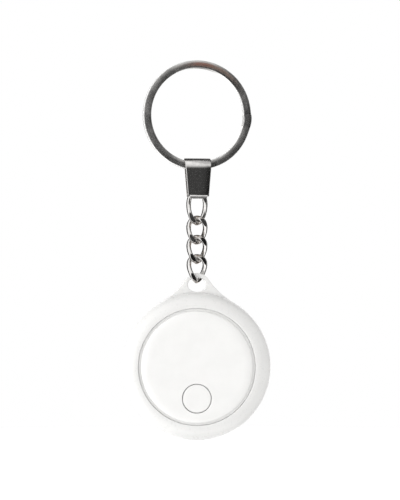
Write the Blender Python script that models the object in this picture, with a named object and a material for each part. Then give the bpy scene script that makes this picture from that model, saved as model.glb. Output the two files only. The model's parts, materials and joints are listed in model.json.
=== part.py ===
"""Round bluetooth tracker tag hanging from a split ring by a short curb chain.

The object hangs in its own frame: metres, +Z up, the tag's face looks along -Y, and the origin is
the point at the top of the split ring's inner side, where a hook or a key would carry it.
Each physical piece is one object, and its name is its node's name.
"""

import math

import bmesh
import bpy
from mathutils import Vector

MM = 0.001
SPAN = math.tau

# ---------------------------------------------------------------- split ring
RING_OUTER_RADIUS = 14.1 * MM
RING_BAND = 1.95 * MM             # radial width of the flat wire
RING_WIRE_DEPTH = 1.2 * MM        # thickness of one turn, front to back
RING_TURN_GAP = 0.08 * MM         # slit between the two turns
RING_EDGE = 0.35 * MM             # broken corner of the wire
RING_TURN = math.radians(12)      # the ring hangs turned a little about the vertical
JOG_ANGLE = math.radians(-6)      # where the wire crosses from the front turn to the rear turn
JOG_HALF = math.radians(13)
JOG_BULGE = 0.25 * MM
JOG_TUCK = 0.88                   # the wire's ends stop this share of the jog's half angle from it
RING_STEP = math.radians(9)

# ---------------------------------------------------------------- bail
BAIL_INNER_RADIUS = 1.7 * MM      # inside of the roll round the ring
BAIL_SHEET = 0.35 * MM
BAIL_BOW = 0.15 * MM              # how far the front plate stands forward of the round roll
BAIL_SHOULDER = 0.7 * MM          # below the roll's axis, where the front plate turns straight
BAIL_REAR_INSET = 0.42 * MM       # the rear plate is narrower on each side
BAIL_PIVOT_LIFT = 0.2 * MM        # roll axis above the middle of the ring's wire
BAIL_TOP_WIDTH = 7.1 * MM
BAIL_FOOT_WIDTH = 5.5 * MM
BAIL_FOOT_DROP = 7.8 * MM         # from the roll's axis to the plates' lower edges
BAIL_EAR_RADIUS = 0.55 * MM
BAIL_BAR_RADIUS = 0.4 * MM        # bar between the plates, inside the first link

# ---------------------------------------------------------------- curb chain
WIRE_RADIUS = 0.65 * MM
LINK_HALF_WIDTH = 2.06 * MM       # centre line of the wire
LINK_HALF_HEIGHT = 3.17 * MM
END_LINK_HALF_HEIGHT = 4.1 * MM
LINK_TWIST = 0.9 * MM             # how far the limbs stand out of the link's plane
END_LINK_TWIST = 0.85 * MM
LINK_REST = 0.06 * MM             # gap that touching pieces keep
LINK_TURNS = [math.radians(angle) for angle in (12, 15, 21, 28)]
LINK_STEPS = 32
WIRE_SIDES = 8

# ---------------------------------------------------------------- tag case
CASE_RADIUS = 19.0 * MM
CASE_INNER_RADIUS = 17.7 * MM
SEAM_Y = -0.6 * MM                # front edge of the rear case
SEAM_GAP = 0.1 * MM
FRONT_LIP_RADIUS = 15.2 * MM      # inner edge of the bezel, outer side of the groove
FRONT_LIP_Y = -4.0 * MM
REAR_Y = 3.85 * MM                # flat back
REAR_FLAT_RADIUS = 16.6 * MM
CASE_SEGMENTS = 40
ARC_STEPS = 5

# lug
LUG_HALF_DEPTH = 0.55 * MM
LUG_HEAD_RADIUS = 3.6 * MM
LUG_HEAD_Z = 20.45 * MM           # above the middle of the tag
LUG_FILLET = 20.0 * MM
LUG_ROOT_RADIUS = 18.3 * MM
LUG_CHAMFER = 0.22 * MM
HOLE_HALF_WIDTH = 2.35 * MM
HOLE_HALF_HEIGHT = 1.85 * MM
HOLE_Z = 21.05 * MM

# face disc and button
COVER_RADIUS = 14.25 * MM
COVER_FRONT_Y = -4.5 * MM
COVER_BACK_Y = -3.4 * MM
COVER_FLANGE_RADIUS = 15.05 * MM
FRONT_LEDGE_RADIUS = 13.8 * MM       # the bezel's ledge behind the disc's flange reaches in to here
BUTTON_Z = -8.07 * MM             # below the middle of the tag
BUTTON_RADIUS = 3.5 * MM
BUTTON_GAP = 0.3 * MM
BUTTON_FLANGE_RADIUS = 4.4 * MM

# circuit board and what it carries
BOARD_RADIUS = 16.4 * MM
BOARD_FRONT_Y = -2.0 * MM
BOARD_BACK_Y = -1.2 * MM
SOLDER = 0.05 * MM                # seat under each soldered piece

# coin cell
CELL_RADIUS = 10.0 * MM
CELL_FRONT_Y = -0.65 * MM
CELL_BACK_Y = 2.55 * MM

# battery door
DOOR_RADIUS = 13.1 * MM
DOOR_BORE = 13.3 * MM
DOOR_LEDGE_Y = 3.0 * MM
DOOR_PLUG_RADIUS = 11.8 * MM
DOOR_THROAT = 12.0 * MM           # hole through the ledge
DOOR_LUG_RADIUS = 12.8 * MM
DOOR_LUG_SPAN = math.radians(24)
NOTCH_SPAN = math.radians(30)
DOOR_TWIST = math.radians(30)     # from locked to free
DOOR_LUG_ANGLES = [math.radians(angle) for angle in (90, 210, 330)]

# screws
SCREW_CIRCLE = 15.0 * MM
SCREW_ANGLES = [math.radians(angle) for angle in (30, 150, 270)]
SCREW_SHANK = 0.55 * MM
SCREW_HEAD = 1.1 * MM

# ---------------------------------------------------------------- places down the chain
RING_INNER_RADIUS = RING_OUTER_RADIUS - RING_BAND
RING_Z = -RING_INNER_RADIUS
BAIL_Z = RING_Z - RING_OUTER_RADIUS + RING_BAND / 2 + BAIL_PIVOT_LIFT
BAIL_FOOT_Z = BAIL_Z - BAIL_FOOT_DROP
BAR_Z = BAIL_FOOT_Z
CROWN_STEP = 2 * WIRE_RADIUS + LINK_REST     # from one wire's middle to the next at a junction
END_LINK_TOP_Z = BAR_Z + BAIL_BAR_RADIUS + WIRE_RADIUS + LINK_REST

# ---------------------------------------------------------------- finishes
FINISHES = {
    "ring_steel": ((0.16, 0.15, 0.15), 0.32, 1.0),
    "bail_steel": ((0.22, 0.22, 0.23), 0.22, 1.0),
    "chain_steel": ((0.75, 0.74, 0.73), 0.12, 1.0),
    "white_case": ((0.86, 0.86, 0.85), 0.28, 0.0),
    "white_cover": ((0.90, 0.90, 0.89), 0.32, 0.0),
    "board_green": ((0.02, 0.16, 0.08), 0.45, 0.0),
    "chip_black": ((0.03, 0.03, 0.03), 0.50, 0.0),
    "ceramic": ((0.85, 0.82, 0.74), 0.40, 0.0),
    "brass": ((0.78, 0.60, 0.28), 0.30, 1.0),
    "cell_steel": ((0.70, 0.70, 0.70), 0.22, 1.0),
    "contact_gold": ((0.83, 0.66, 0.30), 0.28, 1.0),
    "seal_rubber": ((0.04, 0.04, 0.04), 0.70, 0.0),
    "foam": ((0.10, 0.10, 0.10), 0.90, 0.0),
    "lead_red": ((0.60, 0.04, 0.03), 0.45, 0.0),
    "lead_black": ((0.03, 0.03, 0.03), 0.45, 0.0),
    "screw_steel": ((0.55, 0.55, 0.56), 0.25, 1.0),
    "clear_lens": ((0.92, 0.92, 0.85), 0.15, 0.0),
}


# ---------------------------------------------------------------- helpers
def clear_scene():
    """Remove whatever objects the opened scene holds."""
    for item in list(bpy.data.objects):
        bpy.data.objects.remove(item, do_unlink=True)


def finish(name):
    """Return the Principled material of this name, made once."""
    found = bpy.data.materials.get(name)
    if found:
        return found
    colour, roughness, metallic = FINISHES[name]
    material = bpy.data.materials.new(name)
    material.use_nodes = True
    shader = material.node_tree.nodes["Principled BSDF"]
    shader.inputs["Base Color"].default_value = (*colour, 1.0)
    shader.inputs["Roughness"].default_value = roughness
    shader.inputs["Metallic"].default_value = metallic
    return material


def make_object(name, shape, finish_name, location=(0, 0, 0), turn=0.0, smooth=40):
    """Turn a bmesh into a named object with outward faces."""
    bmesh.ops.recalc_face_normals(shape, faces=shape.faces)
    mesh = bpy.data.meshes.new(name)
    shape.to_mesh(mesh)
    shape.free()
    mesh.shade_smooth()
    mesh.set_sharp_from_angle(angle=math.radians(smooth))
    item = bpy.data.objects.new(name, mesh)
    item.data.materials.append(finish(finish_name))
    item.location = location
    item.rotation_euler = (0, 0, turn)
    bpy.context.scene.collection.objects.link(item)
    return item


def make_pivot(name, location, parent=None):
    """An empty on a joint's axis; the pieces that move there are its children."""
    pivot = bpy.data.objects.new(name, None)
    pivot.empty_display_size = 2 * MM
    pivot.location = location
    bpy.context.scene.collection.objects.link(pivot)
    if parent:
        attach(pivot, parent)
    return pivot


def attach(item, parent):
    """Parent an object and leave it where it is in the world."""
    bpy.context.view_layer.update()
    item.parent = parent
    item.matrix_parent_inverse = parent.matrix_world.inverted()


def boolean(target, cutter, operation):
    """Apply one exact Boolean and hide the other shape from the build."""
    cutter.hide_render = True
    cutter.display_type = "WIRE"
    step = target.modifiers.new(cutter.name, "BOOLEAN")
    step.object = cutter
    step.operation = operation
    step.solver = "EXACT"


def arc(centre, radii, start, end, steps):
    """Points of an elliptic arc in a plane, both ends included."""
    points = []
    for index in range(steps + 1):
        angle = start + (end - start) * index / steps
        points.append((centre[0] + radii[0] * math.cos(angle), centre[1] + radii[1] * math.sin(angle)))
    return points


def spun(profile, segments=CASE_SEGMENTS):
    """Solid of revolution about Y from (radius, y) points; it may begin and end on the axis."""
    shape = bmesh.new()
    corners = [shape.verts.new((radius, y, 0)) for radius, y in profile]
    edges = [shape.edges.new(pair) for pair in zip(corners, corners[1:])]
    if profile[0][0] > 0 or profile[-1][0] > 0:
        edges.append(shape.edges.new((corners[-1], corners[0])))
    bmesh.ops.spin(shape, geom=corners + edges, axis=(0, 1, 0), cent=(0, 0, 0),
                   angle=SPAN, steps=segments, use_merge=True)
    bmesh.ops.remove_doubles(shape, verts=shape.verts, dist=0.0001 * MM)
    return shape


def lofted(rings, closed=False):
    """Skin equal rings of points; the ends are capped unless the loft closes on itself."""
    shape = bmesh.new()
    rows = [[shape.verts.new(point) for point in ring] for ring in rings]
    pairs = list(zip(rows, rows[1:]))
    if closed:
        pairs.append((rows[-1], rows[0]))
    for lower, upper in pairs:
        for index in range(len(lower)):
            after = (index + 1) % len(lower)
            shape.faces.new((lower[index], lower[after], upper[after], upper[index]))
    if not closed:
        shape.faces.new(rows[0])
        shape.faces.new(rows[-1])
    return shape


def rod(radius, start_y, end_y, x=0.0, z=0.0, sides=16):
    """Round bar along Y."""
    rings = []
    for y in (start_y, end_y):
        rings.append([(x + radius * math.cos(SPAN * k / sides), y, z + radius * math.sin(SPAN * k / sides))
                      for k in range(sides)])
    return lofted(rings)


def block(size, middle):
    """Box of a size about its middle."""
    shape = bmesh.new()
    bmesh.ops.create_cube(shape, size=1.0)
    bmesh.ops.scale(shape, vec=size, verts=shape.verts)
    bmesh.ops.translate(shape, vec=middle, verts=shape.verts)
    return shape


def strip(path, half_widths, thickness, side):
    """Bent sheet: a flat section carried along a path that lies square to the side direction."""
    side = Vector(side)
    points = [Vector(point) for point in path]
    rings = []
    for index, point in enumerate(points):
        before = points[max(index - 1, 0)]
        after = points[min(index + 1, len(points) - 1)]
        normal = side.cross((after - before).normalized()) * thickness / 2
        reach = side * half_widths[index]
        rings.append([point - reach - normal, point + reach - normal,
                      point + reach + normal, point - reach + normal])
    return lofted(rings)


def wedge(inner, outer, low_y, high_y, middle, span, steps=4):
    """Block that follows a circle about Y, between two radii."""
    rings = []
    for index in range(steps + 1):
        angle = middle + span * (index / steps - 0.5)
        ray = (math.cos(angle), math.sin(angle))
        rings.append([(radius * ray[0], y, radius * ray[1])
                      for radius, y in ((inner, low_y), (outer, low_y), (outer, high_y), (inner, high_y))])
    return lofted(rings)


# ---------------------------------------------------------------- ring, bail and chain
def ring_station(travel):
    """Middle of the ring's wire and its outward direction, for an angle travelled from the jog."""
    half_step = (RING_WIRE_DEPTH + RING_TURN_GAP) / 2
    from_jog = travel - SPAN
    if abs(from_jog) < JOG_HALF:
        share = (from_jog + JOG_HALF) / (2 * JOG_HALF)
        depth = half_step * (2 * share * share * (3 - 2 * share) - 1)
        bulge = JOG_BULGE * math.sin(math.pi * share) ** 2
    else:
        depth = math.copysign(half_step, from_jog)
        bulge = 0.0
    angle = JOG_ANGLE - travel
    outward = Vector((math.cos(angle), 0, math.sin(angle)))
    middle = outward * (RING_OUTER_RADIUS - RING_BAND / 2 + bulge) + Vector((0, depth, 0))
    return middle, outward


def ring_travels():
    """Angles at which the ring's wire is sectioned, finer across the jog."""
    start = JOG_TUCK * JOG_HALF
    end = 2 * SPAN - JOG_TUCK * JOG_HALF
    stretches = [(start, SPAN - JOG_HALF), (SPAN - JOG_HALF, SPAN + JOG_HALF), (SPAN + JOG_HALF, end)]
    travels = [start]
    for low, high in stretches:
        step = JOG_HALF / 4 if high - low < 2.5 * JOG_HALF else RING_STEP
        count = round((high - low) / step)
        travels += [low + (high - low) * (index + 1) / count for index in range(count)]
    return travels


def wire_section(half_width, half_depth, corner):
    """Rectangle with cut corners, as (across, depth) pairs."""
    inner_width = half_width - corner
    inner_depth = half_depth - corner
    return [(-inner_width, -half_depth), (inner_width, -half_depth), (half_width, -inner_depth),
            (half_width, inner_depth), (inner_width, half_depth), (-inner_width, half_depth),
            (-half_width, inner_depth), (-half_width, -inner_depth)]


def make_split_ring():
    section = wire_section(RING_BAND / 2, RING_WIRE_DEPTH / 2, RING_EDGE)
    rings = []
    for travel in ring_travels():
        middle, outward = ring_station(travel)
        rings.append([middle + outward * across + Vector((0, depth, 0)) for across, depth in section])
    return make_object("split_ring", lofted(rings), "ring_steel", (0, 0, RING_Z), RING_TURN)


def bail_path():
    """Middle of the sheet from the front foot over the roll to the rear foot, as (depth, height)."""
    radius = BAIL_INNER_RADIUS + BAIL_SHEET / 2
    front = radius + BAIL_BOW
    path = [(-front, -BAIL_FOOT_DROP)]
    path += arc((0, -BAIL_SHOULDER), (front, radius + BAIL_SHOULDER), math.pi, math.pi / 2, 7)
    path += arc((0, 0), (radius, radius), math.pi / 2, 0, 6)[1:]
    path.append((radius, -BAIL_FOOT_DROP))
    return path


def bail_half_width(depth, height):
    """Half the sheet's width: it tapers towards both feet, and the rear plate is the narrower one."""
    radius = BAIL_INNER_RADIUS + BAIL_SHEET / 2
    taper = min(1.0, (radius - height) / (radius + BAIL_FOOT_DROP))
    width = BAIL_TOP_WIDTH + (BAIL_FOOT_WIDTH - BAIL_TOP_WIDTH) * taper
    return width / 2 - BAIL_REAR_INSET * max(0.0, depth / radius)


def make_bail():
    """Sheet rolled over the ring, two plates below it, and a bar that holds the first link."""
    path = bail_path()
    widths = [bail_half_width(depth, height) for depth, height in path]
    sheet = strip([(0, depth, height) for depth, height in path], widths, BAIL_SHEET, (1, 0, 0))
    place = (0, 0, BAIL_Z)
    bail = make_object("bail", sheet, "bail_steel", place, RING_TURN)
    inset = 0.02 * MM
    rear = BAIL_INNER_RADIUS
    front = -(BAIL_INNER_RADIUS + BAIL_BOW)
    for number, (inner, facing) in enumerate(((front, -1), (rear, 1))):
        ear = rod(BAIL_EAR_RADIUS, inner + facing * inset, inner + facing * (BAIL_SHEET - inset),
                  z=-BAIL_FOOT_DROP)
        boolean(bail, make_object(f"bail_ear_shape_{number}", ear, "bail_steel", place, RING_TURN), "UNION")
    bar_front = front - BAIL_SHEET + 2 * inset
    bar_rear = rear + BAIL_SHEET - 2 * inset
    bar = rod(BAIL_BAR_RADIUS, bar_front, bar_rear, z=-BAIL_FOOT_DROP)
    boolean(bail, make_object("bail_bar_shape", bar, "bail_steel", place, RING_TURN), "UNION")
    return bail


def link_shape(half_height, twist):
    """One twisted oval link: the limbs leave the plane in opposite directions, top and bottom."""
    rings = []
    for index in range(LINK_STEPS):
        angle = SPAN * index / LINK_STEPS
        middle = Vector((LINK_HALF_WIDTH * math.sin(angle), -twist * math.sin(2 * angle),
                         half_height * math.cos(angle)))
        along = Vector((LINK_HALF_WIDTH * math.cos(angle), -2 * twist * math.cos(2 * angle),
                        -half_height * math.sin(angle))).normalized()
        front = (Vector((0, 1, 0)) - along * along.y).normalized()
        across = along.cross(front)
        rings.append([middle + WIRE_RADIUS * (across * math.cos(SPAN * (k + 0.5) / WIRE_SIDES)
                                              + front * math.sin(SPAN * (k + 0.5) / WIRE_SIDES))
                      for k in range(WIRE_SIDES)])
    return lofted(rings, closed=True)


def chain_heights():
    """Height of each link's middle and its half height, from the bail down."""
    places = []
    top = END_LINK_TOP_Z
    for number in range(len(LINK_TURNS)):
        half_height = LINK_HALF_HEIGHT if number else END_LINK_HALF_HEIGHT
        places.append((top - half_height, half_height))
        top += CROWN_STEP - 2 * half_height
    return places


def make_chain():
    links = []
    for number, (middle_z, half_height) in enumerate(chain_heights()):
        twist = LINK_TWIST if number else END_LINK_TWIST
        links.append(make_object(f"chain_link_{number + 1}", link_shape(half_height, twist), "chain_steel",
                                 (0, 0, middle_z), LINK_TURNS[number], smooth=60))
    return links


def tag_middle_z():
    """Middle of the tag: the last link's lower wire bears in the top of the lug's hole."""
    middle_z, half_height = chain_heights()[-1]
    bearing_z = middle_z - half_height
    hole_top = HOLE_Z + HOLE_HALF_HEIGHT
    slack = 0.25 * MM
    return bearing_z + WIRE_RADIUS + slack - hole_top


# ---------------------------------------------------------------- tag case
def lug_outline(inset):
    """Lug seen from the front: a round head that runs into the case by two wide hollow curves."""
    head = LUG_HEAD_RADIUS - inset
    fillet = LUG_FILLET + inset
    rim = CASE_RADIUS - inset
    centre_z = (LUG_HEAD_Z ** 2 + (rim + fillet) ** 2 - (head + fillet) ** 2) / (2 * LUG_HEAD_Z)
    centre_x = math.sqrt((rim + fillet) ** 2 - centre_z ** 2)
    head_angle = math.atan2(centre_z - LUG_HEAD_Z, centre_x)
    rim_angle = math.atan2(centre_z, centre_x)
    right = arc((centre_x, centre_z), (fillet, fillet), rim_angle + math.pi, head_angle + math.pi, 6)
    top = arc((0, LUG_HEAD_Z), (head, head), head_angle, math.pi - head_angle, 12)
    left = [(-x, z) for x, z in reversed(right)]
    root = arc((0, 0), (LUG_ROOT_RADIUS, LUG_ROOT_RADIUS), math.pi - rim_angle, rim_angle, 6)
    return right + top[1:-1] + left + root


def make_lug(place):
    half = LUG_HALF_DEPTH
    full = half - LUG_CHAMFER
    rings = []
    for y, inset in ((-half, LUG_CHAMFER), (-full, 0), (full, 0), (half, LUG_CHAMFER)):
        rings.append([(x, y, z) for x, z in lug_outline(inset)])
    return make_object("lug_shape", lofted(rings), "white_case", place)


def make_lug_hole(place):
    """Cutter for the hole: an oval waist that flares towards both faces of the lug."""
    half = LUG_HALF_DEPTH
    flare = 0.25 * MM
    rings = []
    for y, grow in ((-half - flare, 2 * flare), (-half, flare), (flare - half, 0.05 * MM), (0, 0),
                    (half - flare, 0.05 * MM), (half, flare), (half + flare, 2 * flare)):
        oval = arc((0, HOLE_Z), (HOLE_HALF_WIDTH + grow, HOLE_HALF_HEIGHT + grow), 0, SPAN, 24)[:-1]
        rings.append([(x, y, z) for x, z in oval])
    return make_object("lug_hole_shape", lofted(rings), "white_case", place)


def on_circle(radius, angle):
    return radius * math.cos(angle), radius * math.sin(angle)


def make_rear_case(place):
    """Back shell with the lug, the door's bore and ledge, and three screw bosses."""
    wall_y = 2.6 * MM
    ledge_y = 2.1 * MM
    crown = 0.75 * MM
    profile = [(CASE_RADIUS, SEAM_Y)]
    reach = (CASE_RADIUS - REAR_FLAT_RADIUS, REAR_Y - crown)
    profile += arc((REAR_FLAT_RADIUS, crown), reach, 0, math.pi / 2, ARC_STEPS)
    profile += [(DOOR_BORE, REAR_Y), (DOOR_BORE, DOOR_LEDGE_Y),
                (DOOR_THROAT, DOOR_LEDGE_Y), (DOOR_THROAT, ledge_y),
                (DOOR_BORE + 0.9 * MM, ledge_y), (DOOR_BORE + 0.9 * MM, wall_y),
                (CASE_INNER_RADIUS - 1.2 * MM, wall_y), (CASE_INNER_RADIUS, 1.3 * MM),
                (CASE_INNER_RADIUS, SEAM_Y)]
    case = make_object("rear_case", spun(profile), "white_case", place)
    boolean(case, make_lug(place), "UNION")
    for number, angle in enumerate(SCREW_ANGLES):
        x, z = on_circle(SCREW_CIRCLE, angle)
        boss = rod(1.6 * MM, SEAM_Y + 0.1 * MM, wall_y + 0.3 * MM, x, z, 20)
        boolean(case, make_object(f"rear_boss_shape_{number}", boss, "white_case", place), "UNION")
    for number, angle in enumerate(SCREW_ANGLES):
        x, z = on_circle(SCREW_CIRCLE, angle)
        bore = rod(0.75 * MM, SEAM_Y - 1 * MM, REAR_Y + 1 * MM, x, z)
        sink = rod(1.3 * MM, 3.05 * MM, REAR_Y + 1 * MM, x, z, 20)
        boolean(case, make_object(f"rear_bore_shape_{number}", bore, "white_case", place), "DIFFERENCE")
        boolean(case, make_object(f"rear_sink_shape_{number}", sink, "white_case", place), "DIFFERENCE")
    for number, angle in enumerate(DOOR_LUG_ANGLES):
        notch = wedge(DOOR_THROAT - 0.5 * MM, DOOR_LUG_RADIUS + 0.2 * MM, ledge_y - 0.5 * MM,
                      DOOR_LEDGE_Y + 0.3 * MM, angle - DOOR_TWIST, NOTCH_SPAN)
        boolean(case, make_object(f"notch_shape_{number}", notch, "white_case", place), "DIFFERENCE")
    boolean(case, make_lug_hole(place), "DIFFERENCE")
    return case


def make_front_case(place):
    """Domed bezel: rounds over from the rim to the lip round the face disc."""
    edge_y = SEAM_Y - SEAM_GAP
    seat_y = -2.85 * MM
    inner_y = -2.3 * MM
    lip = FRONT_LIP_RADIUS + 0.15 * MM
    reach = (CASE_RADIUS - lip, edge_y - FRONT_LIP_Y)
    profile = arc((lip, edge_y), reach, 0, -math.pi / 2, ARC_STEPS + 2)
    profile += [(FRONT_LIP_RADIUS, FRONT_LIP_Y + 0.12 * MM), (FRONT_LIP_RADIUS, seat_y),
                (FRONT_LEDGE_RADIUS, seat_y), (FRONT_LEDGE_RADIUS, inner_y),
                (16.6 * MM, inner_y), (CASE_INNER_RADIUS, -1.5 * MM), (CASE_INNER_RADIUS, edge_y)]
    case = make_object("front_case", spun(profile), "white_case", place)
    for number, angle in enumerate(SCREW_ANGLES):
        x, z = on_circle(SCREW_CIRCLE, angle)
        boss = rod(1.3 * MM, inner_y - 0.2 * MM, edge_y, x, z, 20)
        boolean(case, make_object(f"front_boss_shape_{number}", boss, "white_case", place), "UNION")
    for number, angle in enumerate(SCREW_ANGLES):
        x, z = on_circle(SCREW_CIRCLE, angle)
        bore = rod(SCREW_SHANK + 0.08 * MM, inner_y + 0.1 * MM, edge_y + 1 * MM, x, z)
        boolean(case, make_object(f"front_bore_shape_{number}", bore, "white_case", place), "DIFFERENCE")
    return case


def make_face_cover(place):
    """Raised disc with a soft edge and a flange that sits in the bezel."""
    soft = 0.75 * MM
    flange_y = -2.92 * MM
    shoulder_y = COVER_FRONT_Y + 0.08 * MM
    profile = [(0, COVER_FRONT_Y), (7.5 * MM, COVER_FRONT_Y + 0.02 * MM)]
    profile += arc((COVER_RADIUS - soft, shoulder_y + soft), (soft, soft), -math.pi / 2, 0, ARC_STEPS)
    step_radius = 13.9 * MM
    step_y = COVER_BACK_Y + 0.05 * MM
    profile += [(COVER_RADIUS, COVER_BACK_Y), (COVER_FLANGE_RADIUS, COVER_BACK_Y),
                (COVER_FLANGE_RADIUS, flange_y), (step_radius, flange_y),
                (step_radius, step_y), (0, step_y)]
    cover = make_object("face_cover", spun(profile), "white_cover", place)
    hole_front = COVER_FRONT_Y - 1 * MM
    hole_back = COVER_BACK_Y + 1 * MM
    hole = rod(BUTTON_RADIUS + BUTTON_GAP, hole_front, hole_back, z=BUTTON_Z, sides=40)
    boolean(cover, make_object("button_hole_shape", hole, "white_cover", place), "DIFFERENCE")
    return cover


def make_button(place):
    """Cap that fills the hole in the face disc, its flange behind the disc, and a nib for the switch."""
    front_y = COVER_FRONT_Y + 0.05 * MM
    flange_front = -3.25 * MM
    flange_back = -2.95 * MM
    nib_radius = 1.0 * MM
    nib_y = -2.72 * MM
    profile = [(0, front_y), (BUTTON_RADIUS - 0.2 * MM, front_y), (BUTTON_RADIUS, front_y + 0.15 * MM),
               (BUTTON_RADIUS, flange_front), (BUTTON_FLANGE_RADIUS, flange_front),
               (BUTTON_FLANGE_RADIUS, flange_back), (nib_radius, flange_back),
               (nib_radius, nib_y), (0, nib_y)]
    spot = (place[0], place[1], place[2] + BUTTON_Z)
    return make_object("button_cap", spun(profile, 40), "white_cover", spot)


# ---------------------------------------------------------------- inside
def make_board(place):
    board = make_object("circuit_board", spun([(0, BOARD_FRONT_Y), (BOARD_RADIUS, BOARD_FRONT_Y),
                                               (BOARD_RADIUS, BOARD_BACK_Y), (0, BOARD_BACK_Y)]),
                        "board_green", place)
    for number, angle in enumerate(SCREW_ANGLES):
        x, z = on_circle(SCREW_CIRCLE, angle)
        bite = rod(1.65 * MM, BOARD_FRONT_Y - 1 * MM, BOARD_BACK_Y + 1 * MM, x, z)
        boolean(board, make_object(f"board_notch_shape_{number}", bite, "board_green", place), "DIFFERENCE")
    return board


def on_board(size_x, height, size_z, x, z):
    """Block soldered to the board's front side."""
    return block((size_x, height, size_z), (x, BOARD_FRONT_Y - SOLDER - height / 2, z))


def make_board_parts(place):
    """Everything small on the board's front side."""
    parts = [  # name, slot, size across, height, size up, x, z, all in millimetres
        ("radio_chip", "chip_black", 4.5, 0.8, 4.5, -8.6, -5.0),
        ("crystal_main", "cell_steel", 2.5, 0.65, 2.0, -10.0, -0.4),
        ("crystal_clock", "cell_steel", 1.2, 0.6, 3.2, -5.9, -9.8),
        ("chip_antenna", "ceramic", 2.0, 0.8, 6.0, 11.6, -1.0),
        ("indicator_led", "clear_lens", 0.8, 0.6, 1.6, 7.2, -8.0),
        ("capacitor_1", "ceramic", 0.5, 0.5, 1.0, -5.6, -3.9),
        ("capacitor_2", "ceramic", 0.5, 0.5, 1.0, -5.6, -5.8),
        ("capacitor_3", "ceramic", 0.5, 0.5, 1.0, -12.4, -0.4),
        ("capacitor_4", "ceramic", 0.5, 0.5, 1.0, 9.6, -5.0)]
    pieces = []
    for name, slot, across, height, up, x, z in parts:
        shape = on_board(across * MM, height * MM, up * MM, x * MM, z * MM)
        pieces.append(make_object(name, shape, slot, place))
    return pieces


def make_switch(place):
    """Low tactile switch under the button: a square body with a round well, and its plunger."""
    top_y = -2.45 * MM
    base_y = BOARD_FRONT_Y - SOLDER
    shape = block((3 * MM, base_y - top_y, 3 * MM), (0, (base_y + top_y) / 2, BUTTON_Z))
    body = make_object("switch_body", shape, "chip_black", place)
    well = rod(0.75 * MM, top_y - 1 * MM, base_y + 1 * MM, z=BUTTON_Z)
    boolean(body, make_object("switch_well_shape", well, "chip_black", place), "DIFFERENCE")
    spot = (place[0], place[1], place[2] + BUTTON_Z)
    plunger = make_object("switch_plunger", rod(0.6 * MM, -2.66 * MM, -2.37 * MM), "seal_rubber", spot)
    return body, plunger


def make_sounder(place):
    """Piezo disc behind the face disc: foam ring, brass disc, ceramic and its two leads."""
    middle_z = 4.5 * MM
    spot = (place[0], place[1], place[2] + middle_z)
    foam = [(6.3 * MM, -3.3 * MM), (7.5 * MM, -3.3 * MM), (7.5 * MM, -3.0 * MM), (6.3 * MM, -3.0 * MM)]
    brass = [(0, -2.95 * MM), (7.5 * MM, -2.95 * MM), (7.5 * MM, -2.77 * MM), (0, -2.77 * MM)]
    ceramic = [(0, -2.73 * MM), (5.2 * MM, -2.73 * MM), (5.2 * MM, -2.58 * MM), (0, -2.58 * MM)]
    pieces = [make_object("sounder_foam", spun(foam, 24), "foam", spot),
              make_object("sounder_disc", spun(brass, 28), "brass", spot),
              make_object("sounder_ceramic", spun(ceramic, 28), "ceramic", spot)]
    for number, (facing, colour) in enumerate(((-1, "lead_red"), (1, "lead_black"))):
        route = [(1.6, -2.37, 0.6), (1.8, -2.36, -0.8), (2.2, -2.31, -2.2), (2.6, -2.24, -3.6)]
        path = [Vector((facing * x, y, z)) * MM for x, y, z in route]
        pieces.append(make_object(f"sounder_lead_{number + 1}", thin_lead(path), colour, place))
    return pieces


def thin_lead(path):
    """Round insulated lead along a gently bent path that runs mostly down."""
    radius = 0.14 * MM
    sides = 8
    rings = []
    for point in path:
        rings.append([point + radius * Vector((math.cos(SPAN * k / sides), math.sin(SPAN * k / sides), 0))
                      for k in range(sides)])
    return lofted(rings)


def make_cell(place):
    """Coin cell: steel can open to the front, sealing ring, and the negative cap with its filling."""
    lip = 0.3 * MM
    floor_y = 2.2 * MM
    can = [(0, CELL_BACK_Y), (CELL_RADIUS - lip, CELL_BACK_Y), (CELL_RADIUS, CELL_BACK_Y - lip),
           (CELL_RADIUS, -0.4 * MM), (CELL_RADIUS - lip, -0.5 * MM),
           (CELL_RADIUS - lip, floor_y), (0, floor_y)]
    inner, outer = 9.15 * MM, 9.6 * MM
    low, high = -0.45 * MM, 2.05 * MM
    gasket = [(inner, low), (outer, low), (outer, high), (inner, high)]
    cap_radius = 9.05 * MM
    cap_back = 2.0 * MM
    cap = [(0, CELL_FRONT_Y), (8.7 * MM, CELL_FRONT_Y), (cap_radius, CELL_FRONT_Y + lip),
           (cap_radius, cap_back), (0, cap_back)]
    return [make_object("cell_can", spun(can), "cell_steel", place),
            make_object("cell_gasket", spun(gasket, 28), "seal_rubber", place),
            make_object("cell_cap", spun(cap, 40), "cell_steel", place)]


def make_contacts(place):
    """Spring leaf under the cell's cap and a bent leaf against the side of its can."""
    seat_y = BOARD_BACK_Y + SOLDER + 0.1 * MM
    touch_y = -0.84 * MM
    side_x = 10.28 * MM
    leaf = 0.2 * MM
    minus = [(-4.5 * MM, seat_y, 0), (-1 * MM, seat_y, 0), (2.5 * MM, touch_y, 0), (4.5 * MM, touch_y, 0)]
    plus = [(12.4 * MM, seat_y, 0), (10.6 * MM, seat_y, 0), (side_x, -0.8 * MM, 0), (side_x, 1.1 * MM, 0)]
    minus_leaf = strip(minus, [2 * MM, 2 * MM, 1.5 * MM, 1.2 * MM], leaf, (0, 0, 1))
    plus_leaf = strip(plus, [1.8 * MM] * 4, leaf, (0, 0, 1))
    return [make_object("contact_minus", minus_leaf, "contact_gold", place),
            make_object("contact_plus", plus_leaf, "contact_gold", place)]


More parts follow.
